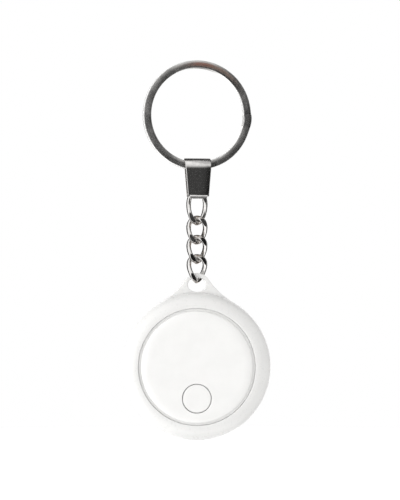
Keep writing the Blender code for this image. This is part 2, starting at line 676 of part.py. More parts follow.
def make_door(place):
    """Round battery door: flange with a seal groove, hollow plug, three bayonet lugs, coin slot."""
    groove_in = 12.7 * MM
    face_bevel = 0.2 * MM
    plug_y = 1.45 * MM
    pocket = 10.9 * MM
    profile = [(0, REAR_Y), (DOOR_RADIUS - face_bevel, REAR_Y), (DOOR_RADIUS, REAR_Y - face_bevel),
               (groove_in, REAR_Y - face_bevel), (groove_in, 3.18 * MM), (DOOR_RADIUS, 3.18 * MM),
               (DOOR_RADIUS, DOOR_LEDGE_Y + 0.06 * MM), (DOOR_PLUG_RADIUS, DOOR_LEDGE_Y + 0.06 * MM),
               (DOOR_PLUG_RADIUS, plug_y), (pocket, plug_y), (pocket, 2.65 * MM), (0, 2.65 * MM)]
    door = make_object("battery_door", spun(profile), "white_case", place)
    for number, angle in enumerate(DOOR_LUG_ANGLES):
        lug = wedge(DOOR_PLUG_RADIUS - 0.3 * MM, DOOR_LUG_RADIUS, plug_y + 0.03 * MM, 2.0 * MM, angle,
                    DOOR_LUG_SPAN)
        boolean(door, make_object(f"door_lug_shape_{number}", lug, "white_case", place), "UNION")
    slot = block((11 * MM, 1.2 * MM, 1.7 * MM), (0, REAR_Y, 0))
    boolean(door, make_object("coin_slot_shape", slot, "white_case", place), "DIFFERENCE")
    seal = arc((12.97 * MM, 3.415 * MM), (0.19 * MM, 0.19 * MM), 0, SPAN, 6)[:-1]
    return door, make_object("door_seal", spun(seal, 36), "seal_rubber", place)


def make_screws(place):
    """Three identical case screws, from the back through the rear bosses into the front ones."""
    recess = 0.45 * MM
    profile = [(0, -1.9 * MM), (SCREW_SHANK, -1.9 * MM), (SCREW_SHANK, 3.12 * MM), (SCREW_HEAD, 3.12 * MM),
               (SCREW_HEAD, 3.5 * MM), (SCREW_HEAD - 0.25 * MM, 3.7 * MM), (recess, 3.7 * MM),
               (recess, 3.35 * MM), (0, 3.35 * MM)]
    screws = []
    for number, angle in enumerate(SCREW_ANGLES):
        x, z = on_circle(SCREW_CIRCLE, angle)
        screws.append(make_object(f"case_screw_{number + 1}", spun(profile, 16), "screw_steel",
                                  (x, 0, place[2] + z)))
    return screws


# ---------------------------------------------------------------- assembly
def main():
    clear_scene()
    make_split_ring()
    heights = chain_heights()
    tag_z = tag_middle_z()
    place = (0, 0, tag_z)

    bail_pivot = make_pivot("bail_pivot", (0, 0, BAIL_Z))
    attach(make_bail(), bail_pivot)
    parent = bail_pivot
    for number, link in enumerate(make_chain()):
        middle_z, half_height = heights[number]
        pivot = make_pivot(f"link_{number + 1}_pivot", (0, 0, middle_z + half_height), parent)
        attach(link, pivot)
        parent = pivot
    web_z = tag_z + (LUG_HEAD_Z + LUG_HEAD_RADIUS + HOLE_Z + HOLE_HALF_HEIGHT) / 2
    tag_pivot = make_pivot("tag_pivot", (0, 0, web_z), parent)

    body, plunger = make_switch(place)
    door, seal = make_door(place)
    pieces = [make_rear_case(place), make_front_case(place), make_face_cover(place)]
    pieces += [make_board(place), body]
    pieces += make_board_parts(place) + make_sounder(place) + make_cell(place) + make_contacts(place)
    pieces += make_screws(place)
    for piece in pieces:
        attach(piece, tag_pivot)
    button_pivot = make_pivot("button_pivot", (0, 0, tag_z + BUTTON_Z), tag_pivot)
    attach(make_button(place), button_pivot)
    attach(plunger, button_pivot)
    door_pivot = make_pivot("door_pivot", place, tag_pivot)
    attach(door, door_pivot)
    attach(seal, door_pivot)


main()
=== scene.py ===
"""Looks of a round bluetooth tracker tag that hangs from a split ring by a short curb chain.

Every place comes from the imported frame: its joints and the boxes of its nodes. The sizes that the
boxes don't give are named values, in metres. Each mesh stands in the row frame, so its object
coordinates are the row frame's own at rest.
"""

import json
from math import atan2, copysign, cos, pi, radians, sin, sqrt, tanh, tau

import bmesh
import bpy
from mathutils import Matrix, Vector


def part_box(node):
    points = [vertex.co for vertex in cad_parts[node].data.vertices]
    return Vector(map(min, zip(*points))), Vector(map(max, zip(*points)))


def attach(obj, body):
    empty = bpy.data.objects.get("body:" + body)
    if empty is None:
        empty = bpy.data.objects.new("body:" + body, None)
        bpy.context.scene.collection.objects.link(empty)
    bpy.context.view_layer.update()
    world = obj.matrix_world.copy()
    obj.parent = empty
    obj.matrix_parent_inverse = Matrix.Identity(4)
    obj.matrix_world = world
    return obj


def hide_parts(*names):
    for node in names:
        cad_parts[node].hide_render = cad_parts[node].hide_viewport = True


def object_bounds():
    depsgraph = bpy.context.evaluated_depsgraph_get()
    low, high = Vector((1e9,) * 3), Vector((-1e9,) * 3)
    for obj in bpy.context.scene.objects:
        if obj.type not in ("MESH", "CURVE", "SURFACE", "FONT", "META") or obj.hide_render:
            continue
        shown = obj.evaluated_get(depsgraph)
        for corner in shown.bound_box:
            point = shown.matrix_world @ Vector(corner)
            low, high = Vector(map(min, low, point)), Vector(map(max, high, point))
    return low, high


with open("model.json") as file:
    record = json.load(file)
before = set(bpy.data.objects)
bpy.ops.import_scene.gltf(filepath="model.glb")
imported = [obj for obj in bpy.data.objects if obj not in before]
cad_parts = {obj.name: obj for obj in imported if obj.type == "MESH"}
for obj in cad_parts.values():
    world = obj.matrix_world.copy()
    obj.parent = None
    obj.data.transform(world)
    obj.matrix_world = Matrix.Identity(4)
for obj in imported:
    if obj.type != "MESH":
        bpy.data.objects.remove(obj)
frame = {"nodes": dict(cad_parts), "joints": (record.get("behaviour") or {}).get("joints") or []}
cad_low, cad_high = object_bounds()

MM = 0.001
QUARTER = pi / 2


def middle(node):
    """Middle of a CAD node's box."""
    low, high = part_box(node)
    return (low + high) / 2


def size(node):
    """Width, depth and height of a CAD node's box."""
    low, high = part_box(node)
    return high - low


def grey(level):
    """Neutral colour."""
    return (level, level, level)


# ---------------- places from the frame
RING_Z = middle("split_ring").z
RING_RADIUS = size("split_ring").z / 2
BAIL_Z = next(joint["pos_m"][2] for joint in frame["joints"] if joint["name"] == "bail_swing")
TAG = Vector((0, 0, middle("front_case").z))
CASE_RADIUS = size("front_case").x / 2
SEAM_FRONT_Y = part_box("front_case")[1].y
SEAM_REAR_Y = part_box("rear_case")[0].y
LIP_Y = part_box("front_case")[0].y
BACK_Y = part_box("rear_case")[1].y
COVER_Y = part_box("face_cover")[0].y
BUTTON = Vector((0, 0, middle("button_cap").z))

# ---------------- sizes
SMOOTH_ANGLE = 38             # degrees; an edge sharper than this stays crisp
ROUND_SMOOTH_ANGLE = 50
LATHE_STEPS = 168             # sections in a turn
BUTTON_STEPS = 96
WEDGE_STEPS = 10

RING_BAND = 1.95 * MM         # the wire's width, seen from the front
RING_WIRE_DEPTH = 1.16 * MM
RING_PITCH = 1.22 * MM        # from one turn of the wire to the next, front to back
RING_CORNER = 0.17 * MM
RING_CROWN = 0.09 * MM        # the wire's faces are a little fuller in their middle
RING_TURN = radians(12)       # ring and bail hang turned about the vertical
JOG_ANGLE = radians(-6)       # where the wire crosses from the front turn to the rear one
JOG_HALF = radians(13)
JOG_BULGE = 0.22 * MM         # how far both turns stand out at the jog
END_LAP = radians(7)          # the wire's wedge-shaped ends reach past the jog's middle
END_GAP = 0.04 * MM
RING_STEPS = 240              # sections in each turn
RING_OUTER_MM = RING_RADIUS / MM
RING_INNER_MM = (RING_RADIUS - RING_BAND) / MM

BAIL_INNER_RADIUS = 1.73 * MM
BAIL_SHEET = 0.32 * MM
BAIL_TOP_WIDTH = 7.1 * MM
BAIL_FOOT_WIDTH = 5.5 * MM
BAIL_FOOT_DROP = 7.8 * MM
BAIL_BEVEL_WIDTH = 0.24 * MM
BAIL_BEVEL_DEPTH = 0.16 * MM
BAIL_BOW = 0.15 * MM          # how far the front plate stands forward of the round roll
BAIL_SHOULDER = 0.7 * MM      # below the roll's axis, where the front plate turns straight
BAIL_REAR_INSET = 0.42 * MM   # the rear plate is narrower on each side
BAIL_BARREL = 0.15 * MM       # the plates are a little fuller in their middle
BAIL_FOOT_BEVEL = 0.5 * MM    # height and depth of the bevel at the plates' feet
BAIL_FOOT_BEVEL_DEPTH = 0.22 * MM
BAIL_LIP_WIDTH = 4.5 * MM     # tongue below each plate that carries the bar
BAIL_LIP_DROP = 0.5 * MM
BAIL_EAR_RADIUS = 0.46 * MM   # boss on each plate where the bar ends
BAIL_BAR_RADIUS = 0.38 * MM

WIRE_RADIUS = 0.65 * MM
LINK_TWIST = 0.9 * MM         # how far the limbs leave the link's plane
END_LINK_TWIST = 0.85 * MM    # of the first link, on the bail's bar
LINK_HALF_WIDTH = 2.16 * MM
LINK_FACET = 0.27 * MM        # depth ground off each flattened side
LINK_TURNS = [radians(angle) for angle in (12, 15, 21, 28)]
LINK_STEPS = 120
LINK_SIDES = 28

LIP_RADIUS = 15.05 * MM       # inner edge of the bezel
COVER_RADIUS = 14.3 * MM      # raised part of the face disc; its sunk flange reaches further
COVER_FLANGE = 14.97 * MM
BUTTON_RADIUS = 3.59 * MM
BUTTON_GAP = 0.21 * MM
CASE_INNER_RADIUS = 17.7 * MM
REAR_FLAT_RADIUS = 16.6 * MM  # the back is flat inside it
REAR_CROWN_Y = 0.75 * MM      # where the rear rim starts to round over
REAR_WALL_Y = 2.6 * MM        # inner face of the back wall

LUG_HALF_DEPTH = 0.55 * MM
LUG_HEAD_RADIUS = 3.6 * MM
LUG_HEAD_Z = 20.45 * MM
LUG_FILLET = 20.0 * MM
LUG_ROOT_RADIUS = 18.3 * MM
LUG_EDGE = 0.3 * MM           # radius of the lug's and the hole's soft edges
HOLE_HALF_WIDTH = 2.35 * MM
HOLE_HALF_HEIGHT = 1.85 * MM
HOLE_Z = 21.05 * MM

DOOR_RADIUS = 13.1 * MM
DOOR_BORE = 13.3 * MM
DOOR_LEDGE_Y = 3.0 * MM       # ledge of the case that the door's flange lies on
DOOR_LEDGE_INNER_Y = 2.1 * MM
DOOR_THROAT = 12.0 * MM
DOOR_PLUG = 11.8 * MM
DOOR_LUG_RADIUS = 12.8 * MM
DOOR_ANGLES = [radians(angle) for angle in (90, 210, 330)]
SCREW_CIRCLE = 15.0 * MM
SCREW_ANGLES = [radians(angle) for angle in (30, 150, 270)]
SCREW_HEAD = 1.1 * MM         # these five are radii
SCREW_BOSS = 1.6 * MM
SCREW_BORE = 0.75 * MM
SINK_RADIUS = 1.3 * MM
SINK_MOUTH = 1.45 * MM
SINK_FLOOR_Y = 3.05 * MM

WARM_TINT = (0.50, 0.37, 0.31)
RUST = (0.40, 0.14, 0.10)
PAINTED_WALL_HIGHLIGHT = grey(0.92)           # painted highlight on the walls of the ring's wire
# painted line of shade along the rear edge of the ring wire's outer wall
PAINTED_EDGE_SHADE = grey(0.04)
LINK_BROWN = (0.22, 0.175, 0.14)


# ---------------- node helpers
def new_material(name):
    """Empty node material with its Principled shader, as (material, tree, shader)."""
    material = bpy.data.materials.new(name)
    material.use_nodes = True
    tree = material.node_tree
    return material, tree, tree.nodes["Principled BSDF"]


def plug(tree, socket, source):
    """Link an input to a socket, or set it to a value."""
    if isinstance(source, bpy.types.NodeSocket):
        tree.links.new(source, socket)
    else:
        socket.default_value = source


def surface(tree, shader, colour, roughness, metallic=0.0):
    """Colour, roughness and share of metal of a shader."""
    plug(tree, shader.inputs["Base Color"], colour)
    plug(tree, shader.inputs["Roughness"], roughness)
    plug(tree, shader.inputs["Metallic"], metallic)


def add(tree, kind, links=(), **values):
    """Shader node of a kind, its numbered or named inputs linked or set."""
    node = tree.nodes.new("ShaderNode" + kind)
    for key, value in values.items():
        setattr(node, key, value)
    for socket, source in links:
        plug(tree, node.inputs[socket], source)
    return node


def maths(tree, operation, first, second=0.0):
    """One arithmetic step; its inputs are sockets or numbers."""
    return add(tree, "Math", [(0, first), (1, second)], operation=operation).outputs[0]


def times(tree, first, second):
    """Product of two sockets or numbers."""
    return maths(tree, "MULTIPLY", first, second)


def ramp(tree, source, from_low, from_high, to_low=0, to_high=1):
    """Source mapped smoothly from one range to another and held at its ends."""
    limits = [("From Min", from_low), ("From Max", from_high), ("To Min", to_low), ("To Max", to_high)]
    node = add(tree, "MapRange", [("Value", source)] + limits)
    node.interpolation_type = "SMOOTHSTEP"
    return node.outputs["Result"]


def vector_maths(tree, operation, first, second=None, output="Vector"):
    """One step of vector arithmetic; its inputs are sockets or triples."""
    inputs = [(0, first)] if second is None else [(0, first), (1, second)]
    return add(tree, "VectorMath", inputs, operation=operation).outputs[output]


def blend_colours(tree, share, first, second):
    """Colour between two, which are sockets or (r, g, b)."""
    node = add(tree, "Mix", [("Factor", share)], data_type="RGBA")
    sockets = [socket for socket in node.inputs if socket.type == "RGBA"]
    for socket, colour in zip(sockets, (first, second)):
        plug(tree, socket, (*colour, 1.0) if isinstance(colour, tuple) else colour)
    return next(socket for socket in node.outputs if socket.type == "RGBA")


def mix_levels(tree, share, first, second):
    """Level between two, which are sockets or numbers."""
    levels = [("Factor", share), ("A", first), ("B", second)]
    return add(tree, "Mix", levels, data_type="FLOAT").outputs["Result"]


def between(tree, source, edges):
    """1 between the two middle edges of four, 0 outside the outer ones, smooth in between."""
    rise = ramp(tree, source, edges[0], edges[1])
    return times(tree, rise, ramp(tree, source, edges[2], edges[3], 1, 0))


def mottled(tree, source, dark, light, low=0.35, high=0.65):
    """Colour that runs from dark to light as a noise rises between two values."""
    return blend_colours(tree, ramp(tree, source, low, high), dark, light)


def place_mm(tree, about=(0, 0, 0)):
    """Object coordinates in millimetres about a point."""
    coordinates = add(tree, "TexCoord").outputs["Object"]
    shifted = vector_maths(tree, "SUBTRACT", coordinates, tuple(about))
    scaled = add(tree, "VectorMath", [(0, shifted), ("Scale", 1 / MM)], operation="SCALE")
    return scaled.outputs[0]


def noise(tree, vector, scale, detail=3.0, roughness=0.55, stretch=None):
    """Noise between about 0.25 and 0.75, with its scale in features for each unit of the vector."""
    if stretch:
        vector = vector_maths(tree, "MULTIPLY", vector, stretch)
    node = add(tree, "TexNoise", [("Vector", vector), ("Scale", scale), ("Detail", detail),
                                  ("Roughness", roughness)])
    return node.outputs["Fac"]


def bump(tree, shader, height, strength, distance):
    """Relief from a height, which is 1 at a distance in metres, at a strength between 0 and 1."""
    node = add(tree, "Bump", [("Height", height), ("Strength", strength), ("Distance", distance)])
    tree.links.new(node.outputs[0], shader.inputs["Normal"])


# ---------------- materials
def plastic(name, light, dark, roughness, glow=0.0):
    """Moulded plastic: faint clouding, uneven gloss and the mould's fine spark texture."""
    material, tree, shader = new_material(name)
    place = place_mm(tree)
    clouds = noise(tree, place, 0.22)
    gloss = ramp(tree, noise(tree, place, 1.3), 0.3, 0.7, roughness - 0.04, roughness + 0.05)
    surface(tree, shader, mottled(tree, clouds, dark, light), gloss)
    bump(tree, shader, noise(tree, place, 9.0, 2.0), 0.05, 0.02 * MM)
    if glow:
        shader.inputs["Subsurface Weight"].default_value = glow
        shader.inputs["Subsurface Scale"].default_value = 0.9 * MM
        shader.inputs["Subsurface Radius"].default_value = (1.0, 0.95, 0.9)
    return material


def along_wire(tree):
    """The swept meshes' own coordinates in millimetres: x along the wire, y around it."""
    return add(tree, "UVMap", uv_map="along_around").outputs[0]


def near_bearing(tree, bearing, centre, inner, outer):
    """1 close to a bearing round the ring and 0 away from it; the three limits are in degrees."""
    away = maths(tree, "ABSOLUTE", maths(tree, "SUBTRACT", bearing, radians(centre)))
    return ramp(tree, away, radians(inner), radians(outer), 1, 0)


def ring_tarnish(tree, place, reach, mottle, streaks):
    """Shares of a warm tint and of rust, both on the wire's flat faces at the top of the ring."""
    split = add(tree, "SeparateXYZ", [(0, place)])
    bearing = maths(tree, "ARCTAN2", split.outputs["Z"], split.outputs["X"])
    warm = times(tree, near_bearing(tree, bearing, 72, 8, 52),
                 ramp(tree, mottle, 0.3, 0.6, 0.45, 1))
    rusty = times(tree, near_bearing(tree, bearing, 84, 3, 20),
                  ramp(tree, streaks, 0.35, 0.65, 0.3, 0.9))
    edges = (RING_INNER_MM + 0.2, RING_INNER_MM + 0.8, RING_OUTER_MM - 0.75, RING_OUTER_MM - 0.25)
    in_band = between(tree, reach, edges)
    return times(tree, warm, in_band), times(tree, rusty, in_band)


def ring_walls(tree, own, reach):
    """Masks of the painted highlight on the ring's walls, and of the painted line of shade along the
    outer wall's rear edge.
    """
    outside = ramp(tree, reach, RING_OUTER_MM - 0.12, RING_OUTER_MM - 0.05)
    inside = times(tree, ramp(tree, reach, RING_INNER_MM + 0.08, RING_INNER_MM + 0.16, 1, 0),
                   ramp(tree, own.outputs["X"], 3, 8))
    rear_y = (RING_PITCH + RING_WIRE_DEPTH) / 2 / MM
    edge = times(tree, outside, ramp(tree, own.outputs["Y"], rear_y - 0.66, rear_y - 0.54))
    return maths(tree, "MAXIMUM", outside, inside), edge


def ring_metal():
    """Dark nickel, drawn lengthwise, uneven along the wire, with a warm tarnish at the top."""
    material, tree, shader = new_material("dark_nickel")
    place = place_mm(tree, (0, 0, RING_Z))
    streaks = noise(tree, along_wire(tree), 1.0, 5.0, 0.7, stretch=(0.10, 6.0, 1.0))
    mottle = noise(tree, place, 1.1, 4.0, 0.65)
    patches = noise(tree, place, 0.16, 2.0, 0.5)
    tone = times(tree, streaks, 0.3)
    for source, weight in ((mottle, 0.2), (patches, 0.5)):
        tone = maths(tree, "ADD", tone, times(tree, source, weight))
    turned = add(tree, "VectorRotate", [("Vector", place), ("Angle", -RING_TURN)],
                 rotation_type="Z_AXIS")
    own = add(tree, "SeparateXYZ", [(0, turned.outputs[0])])
    flat = add(tree, "CombineXYZ", [("X", own.outputs["X"]), ("Z", own.outputs["Z"])])
    reach = vector_maths(tree, "LENGTH", flat.outputs[0], output="Value")
    warm, rusty = ring_tarnish(tree, place, reach, mottle, streaks)
    wall_highlight, edge = ring_walls(tree, own, reach)
    colour = mottled(tree, tone, (0.42, 0.415, 0.41), (0.80, 0.79, 0.78), 0.38, 0.62)
    # The walls carry a painted highlight and the outer wall's rear edge a painted line of shade; the
    # warm tint and the rust are tarnish.
    for share, tint in ((warm, WARM_TINT), (rusty, RUST), (wall_highlight, PAINTED_WALL_HIGHLIGHT), (edge, PAINTED_EDGE_SHADE)):
        colour = blend_colours(tree, share, colour, tint)
    satin = times(tree, ramp(tree, own.outputs["X"], -10, 6, 0.085, 0.055),
                  ramp(tree, patches, 0.35, 0.65, 0.7, 1.3))
    dull = maths(tree, "MAXIMUM", times(tree, warm, 0.3), times(tree, rusty, 0.6))
    dull = maths(tree, "MAXIMUM", dull, satin)
    metallic = maths(tree, "SUBTRACT", 1.0, dull)
    surface(tree, shader, colour, ramp(tree, mottle, 0.3, 0.7, 0.17, 0.27), metallic)
    bump(tree, shader, streaks, 0.18, 0.01 * MM)
    return material


def bail_metal():
    """Polished dark nickel with soft mottling and a few fine scratches down the plates."""
    material, tree, shader = new_material("polished_nickel")
    mottle = noise(tree, place_mm(tree, (0, 0, BAIL_Z)), 1.5, 4.0, 0.6)
    scratches = noise(tree, along_wire(tree), 1.0, 4.0, 0.7, stretch=(0.25, 14.0, 1.0))
    colour = mottled(tree, mottle, (0.68, 0.67, 0.665), (0.82, 0.81, 0.80), 0.34, 0.66)
    surface(tree, shader, colour, ramp(tree, scratches, 0.35, 0.7, 0.10, 0.19), 1.0)
    relief = maths(tree, "ADD", scratches, times(tree, mottle, 1.6))
    bump(tree, shader, relief, 0.06, 0.012 * MM)
    return material


def chain_metal(name, crown_z, foot_z):
    """Bright nickel plate, browned and darker where the links bear on each other: partly tarnish, partly
    painted shade in the junctions.
    """
    material, tree, shader = new_material(name)
    place = place_mm(tree)
    mottle = noise(tree, place, 1.6, 4.0, 0.65)
    height = add(tree, "SeparateXYZ", [(0, place)]).outputs["Z"]
    middle_z = (crown_z + foot_z) / 2 / MM
    reach = (crown_z - foot_z) / 2 / MM
    from_middle = maths(tree, "ABSOLUTE", maths(tree, "SUBTRACT", height, middle_z))
    # Browned and darkened towards the crown and the foot: partly tarnish, partly painted shade where the
    # links meet.
    tarnish_and_shade = times(tree, ramp(tree, from_middle, 0.62 * reach, 0.95 * reach),
                 ramp(tree, mottle, 0.34, 0.58, 0.25, 1.0))
    bright = mottled(tree, mottle, (0.74, 0.73, 0.72), (0.88, 0.87, 0.86))
    colour = blend_colours(tree, tarnish_and_shade, bright, LINK_BROWN)
    surface(tree, shader, colour, ramp(tree, mottle, 0.3, 0.7, 0.06, 0.16), 1.0)
    bump(tree, shader, noise(tree, place, 2.6, 3.0), 0.16, 0.02 * MM)
    return material


def worn_metal(name, light, dark, roughness, turned_about=None):
    """Plain small metal part; turned_about gives fine lathe rings about a Y axis there."""
    material, tree, shader = new_material(name)
    place = place_mm(tree, turned_about or (0, 0, 0))
    mottle = noise(tree, place, 1.2, 4.0, 0.6)
    gloss = ramp(tree, mottle, 0.3, 0.7, roughness - 0.05, roughness + 0.08)
    surface(tree, shader, mottled(tree, mottle, dark, light), gloss, 1.0)
    grain = noise(tree, place, 7.0, 3.0)
    if turned_about:
        flat = vector_maths(tree, "MULTIPLY", place, (1, 0, 1))
        radius = vector_maths(tree, "LENGTH", flat, output="Value")
        lathe_rings = maths(tree, "SINE", times(tree, radius, 42.0))
        grain = maths(tree, "ADD", lathe_rings, grain)
    bump(tree, shader, grain, 0.12, 0.01 * MM)
    return material


def circuit_board():
    """Green solder mask over copper: paler traces under it and rows of bare gold pads."""
    material, tree, shader = new_material("board_mask")
    place = place_mm(tree, TAG)
    cells = add(tree, "TexVoronoi", [("Vector", place), ("Scale", 0.42)], feature="DISTANCE_TO_EDGE")
    traces = ramp(tree, cells.outputs["Distance"], 0.03, 0.06, 1, 0)
    dots = add(tree, "TexVoronoi", [("Vector", place), ("Scale", 0.55), ("Randomness", 0.35)])
    pads = ramp(tree, dots.outputs["Distance"], 0.12, 0.15, 1, 0)
    mask = blend_colours(tree, noise(tree, place, 0.7), (0.008, 0.085, 0.040), (0.014, 0.130, 0.060))
    mask = blend_colours(tree, traces, mask, (0.030, 0.240, 0.110))
    gloss = ramp(tree, noise(tree, place, 4.0), 0.3, 0.7, 0.30, 0.46)
    surface(tree, shader, blend_colours(tree, pads, mask, (0.80, 0.60, 0.26)), gloss, pads)
    bump(tree, shader, maths(tree, "ADD", traces, pads), 0.5, 0.03 * MM)
    return material


def moulded(name, light, dark, roughness, grain, depth):
    """Matt moulded or foamed stuff: speckled colour and a grain of a given depth."""
    material, tree, shader = new_material(name)
    speck = noise(tree, place_mm(tree), grain, 4.0, 0.7)
    gloss = ramp(tree, speck, 0.3, 0.7, roughness - 0.06, roughness + 0.06)
    surface(tree, shader, mottled(tree, speck, dark, light), gloss)
    bump(tree, shader, speck, 0.4, depth)
    return material


# ---------------- mesh helpers
def arc(centre, radii, start, end, steps):
    """Points of an elliptic arc in a plane, both ends included."""
    points = []
    for index in range(steps + 1):
        angle = start + (end - start) * index / steps
        points.append((centre[0] + radii[0] * cos(angle), centre[1] + radii[1] * sin(angle)))
    return points


def round_off(centre, radius, start, end, steps):
    """Points of a circular arc in a plane, both ends included."""
    return arc(centre, (radius, radius), start, end, steps)


def on_circle(radius, angle):
    """Point of a circle about the origin of a plane."""
    return radius * cos(angle), radius * sin(angle)


def dress(mesh, material):
    """Give a mesh one material in place of those it has."""
    mesh.materials.clear()
    mesh.materials.append(material)


def shade(mesh, smooth):
    """Smooth shading that keeps edges sharper than an angle in degrees crisp."""
    mesh.shade_smooth()
    mesh.set_sharp_from_angle(angle=radians(smooth))


def mesh_object(name, shape, material=None, smooth=SMOOTH_ANGLE):
    """Turn a bmesh into a linked object with outward faces and smooth shading."""
    bmesh.ops.recalc_face_normals(shape, faces=shape.faces)
    mesh = bpy.data.meshes.new(name)
    shape.to_mesh(mesh)
    shape.free()
    shade(mesh, smooth)
    item = bpy.data.objects.new(name, mesh)
    bpy.context.scene.collection.objects.link(item)
    if material:
        mesh.materials.append(material)
    return item


def combine(item, shapes, operation):
    """Exact Boolean of an object with bmeshes, which are used up."""
    tools = [mesh_object("tool", shape) for shape in shapes]
    for tool in tools:
        step = item.modifiers.new(tool.name, "BOOLEAN")
        step.object = tool
        step.operation = operation
        step.solver = "EXACT"
    bpy.context.view_layer.update()
    depsgraph = bpy.context.evaluated_depsgraph_get()
    made = bpy.data.meshes.new_from_object(item.evaluated_get(depsgraph))
    item.modifiers.clear()
    item.data = made
    shade(made, SMOOTH_ANGLE)
    for tool in tools:
        bpy.data.objects.remove(tool)


def move(shape, place, turn=0.0):
    """Turn a bmesh about the vertical and carry it to its place."""
    carry = Matrix.Translation(place) @ Matrix.Rotation(turn, 4, "Z")
    bmesh.ops.transform(shape, matrix=carry, verts=shape.verts)
    return shape


def lathe(profile, place=TAG, steps=LATHE_STEPS):
    """Solid of revolution about Y from (radius, y) points; it may begin and end on the axis."""
    shape = bmesh.new()
    corners = [shape.verts.new((radius, y, 0)) for radius, y in profile]
    edges = [shape.edges.new(pair) for pair in zip(corners, corners[1:])]
    if profile[0][0] > 0 or profile[-1][0] > 0:
        edges.append(shape.edges.new((corners[-1], corners[0])))
    bmesh.ops.spin(shape, geom=corners + edges, axis=(0, 1, 0), cent=(0, 0, 0), angle=tau, steps=steps,
                   use_merge=True)
    bmesh.ops.remove_doubles(shape, verts=shape.verts, dist=0.0001 * MM)
    return move(shape, place)


def skin(rings, closed=False):
    """Skin equal rings of points, with a map in millimetres: x along the sweep, y around it."""
    shape = bmesh.new()
    layer = shape.loops.layers.uv.new("along_around")
    rows = [[shape.verts.new(point) for point in ring] for ring in rings]
    centres = [sum((Vector(point) for point in ring), Vector()) / len(ring) for ring in rings]
    along = [0.0]
    for before, after in zip(centres, centres[1:] + centres[:1]):
        along.append(along[-1] + (after - before).length / MM)
    around = [0.0]
    first = [Vector(point) for point in rings[0]]
    for before, after in zip(first, first[1:] + first[:1]):
        around.append(around[-1] + (after - before).length / MM)
    last = len(rows) if closed else len(rows) - 1
    for row in range(last):
        lower, upper = rows[row], rows[(row + 1) % len(rows)]
        for index in range(len(lower)):
            after = (index + 1) % len(lower)
            face = shape.faces.new((lower[index], lower[after], upper[after], upper[index]))
            corners = ((row, index), (row, index + 1), (row + 1, index + 1), (row + 1, index))
            for loop, (r, k) in zip(face.loops, corners):
                loop[layer].uv = (along[r], around[k])
    if not closed:
        shape.faces.new(rows[0])
        shape.faces.new(rows[-1])
    return shape


def stack(outlines):
    """Skin from (outline, y) pairs, each outline being (x, z) points."""
    return skin([[(x, y, z) for x, z in outline] for outline, y in outlines])


def rod(radius, start_y, end_y, z=0.0):
    """Round bar along Y."""
    circle = round_off((0, z), radius, 0, tau, 32)[:-1]
    return stack([(circle, start_y), (circle, end_y)])


def rounded_slot(length, width, low_y, high_y, steps=12):
    """Round-ended bar along X, between two depths."""
    reach = (length - width) / 2
    outline = round_off((reach, 0), width / 2, -QUARTER, QUARTER, steps)
    outline += round_off((-reach, 0), width / 2, QUARTER, 1.5 * pi, steps)
    return stack([(outline, low_y), (outline, high_y)])


def wedge(inner, outer, low_y, high_y, centre, span):
    """Block that follows a circle about Y, between two radii."""
    corners = ((inner, low_y), (outer, low_y), (outer, high_y), (inner, high_y))
    rings = []
    for index in range(WEDGE_STEPS + 1):
        angle = centre + span * (index / WEDGE_STEPS - 0.5)
        rings.append([(radius * cos(angle), y, radius * sin(angle)) for radius, y in corners])
    return skin(rings)


def stand_for(item, node, body):
    """The piece rides a body in place of one CAD node."""
    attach(item, body)
    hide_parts(node)


# ---------------- split ring
def jog_depth(from_jog):
    """Depth of the wire's middle: front turn before the jog, rear turn after it."""
    if abs(from_jog) >= JOG_HALF:
        return copysign(RING_PITCH / 2, from_jog)
    share = (from_jog + JOG_HALF) / (2 * JOG_HALF)
    return RING_PITCH / 2 * (2 * share * share * (3 - 2 * share) - 1)


def ring_station(travel):
    """Middle of the ring's wire and its outward direction, for an angle travelled from the jog."""
    from_jog = travel - tau
    from_kink = abs((travel + pi) % tau - pi)
    bulge = JOG_BULGE * cos(QUARTER * min(1.0, from_kink / JOG_HALF)) ** 2
    angle = JOG_ANGLE - travel
    outward = Vector((cos(angle), 0, sin(angle)))
    middle_point = outward * (RING_RADIUS - RING_BAND / 2 + bulge) + Vector((0, jog_depth(from_jog), 0))
    return middle_point, outward


def ring_section():
    """Rectangle with rounded corners and slightly full faces, as (across, depth) pairs."""
    half_width = RING_BAND / 2 - RING_CORNER
    half_depth = RING_WIRE_DEPTH / 2 - RING_CROWN - RING_CORNER
    section = []
    for quarter, (side, face) in enumerate(((1, 1), (-1, 1), (-1, -1), (1, -1))):
        corner = (side * half_width, face * half_depth)
        start = quarter * QUARTER
        section += round_off(corner, RING_CORNER, start, start + QUARTER, 4)
        if quarter % 2 == 0:
            for step in range(1, 8):
                share = side * (1 - step / 4)
                depth = half_depth + RING_CORNER + RING_CROWN * (1 - share * share)
                section.append((share * half_width, face * depth))
    return section


def make_ring():
    """Two turns of flat wire; each end is ground to a wedge that lies on the slope of the jog."""
    end = 2 * tau + END_LAP
    section = ring_section()
    rings = []
    for index in range(2 * RING_STEPS + 1):
        travel = -END_LAP + (end + END_LAP) * index / (2 * RING_STEPS)
        middle_point, outward = ring_station(travel)
        facing, from_jog = (1, travel) if travel < tau else (-1, 2 * tau - travel)
        room = jog_depth(from_jog) + RING_PITCH / 2 - END_GAP
        thin = min(1.0, room / RING_WIRE_DEPTH)
        set_out = facing * (1 - thin) * RING_WIRE_DEPTH / 2
        rings.append([middle_point + outward * across + Vector((0, depth * thin - set_out, 0))
                      for across, depth in section])
    shape = move(skin(rings), (0, 0, RING_Z), RING_TURN)
    ring = mesh_object("ring_coil", shape, ring_metal(), 45)
    stand_for(ring, "split_ring", "ring")


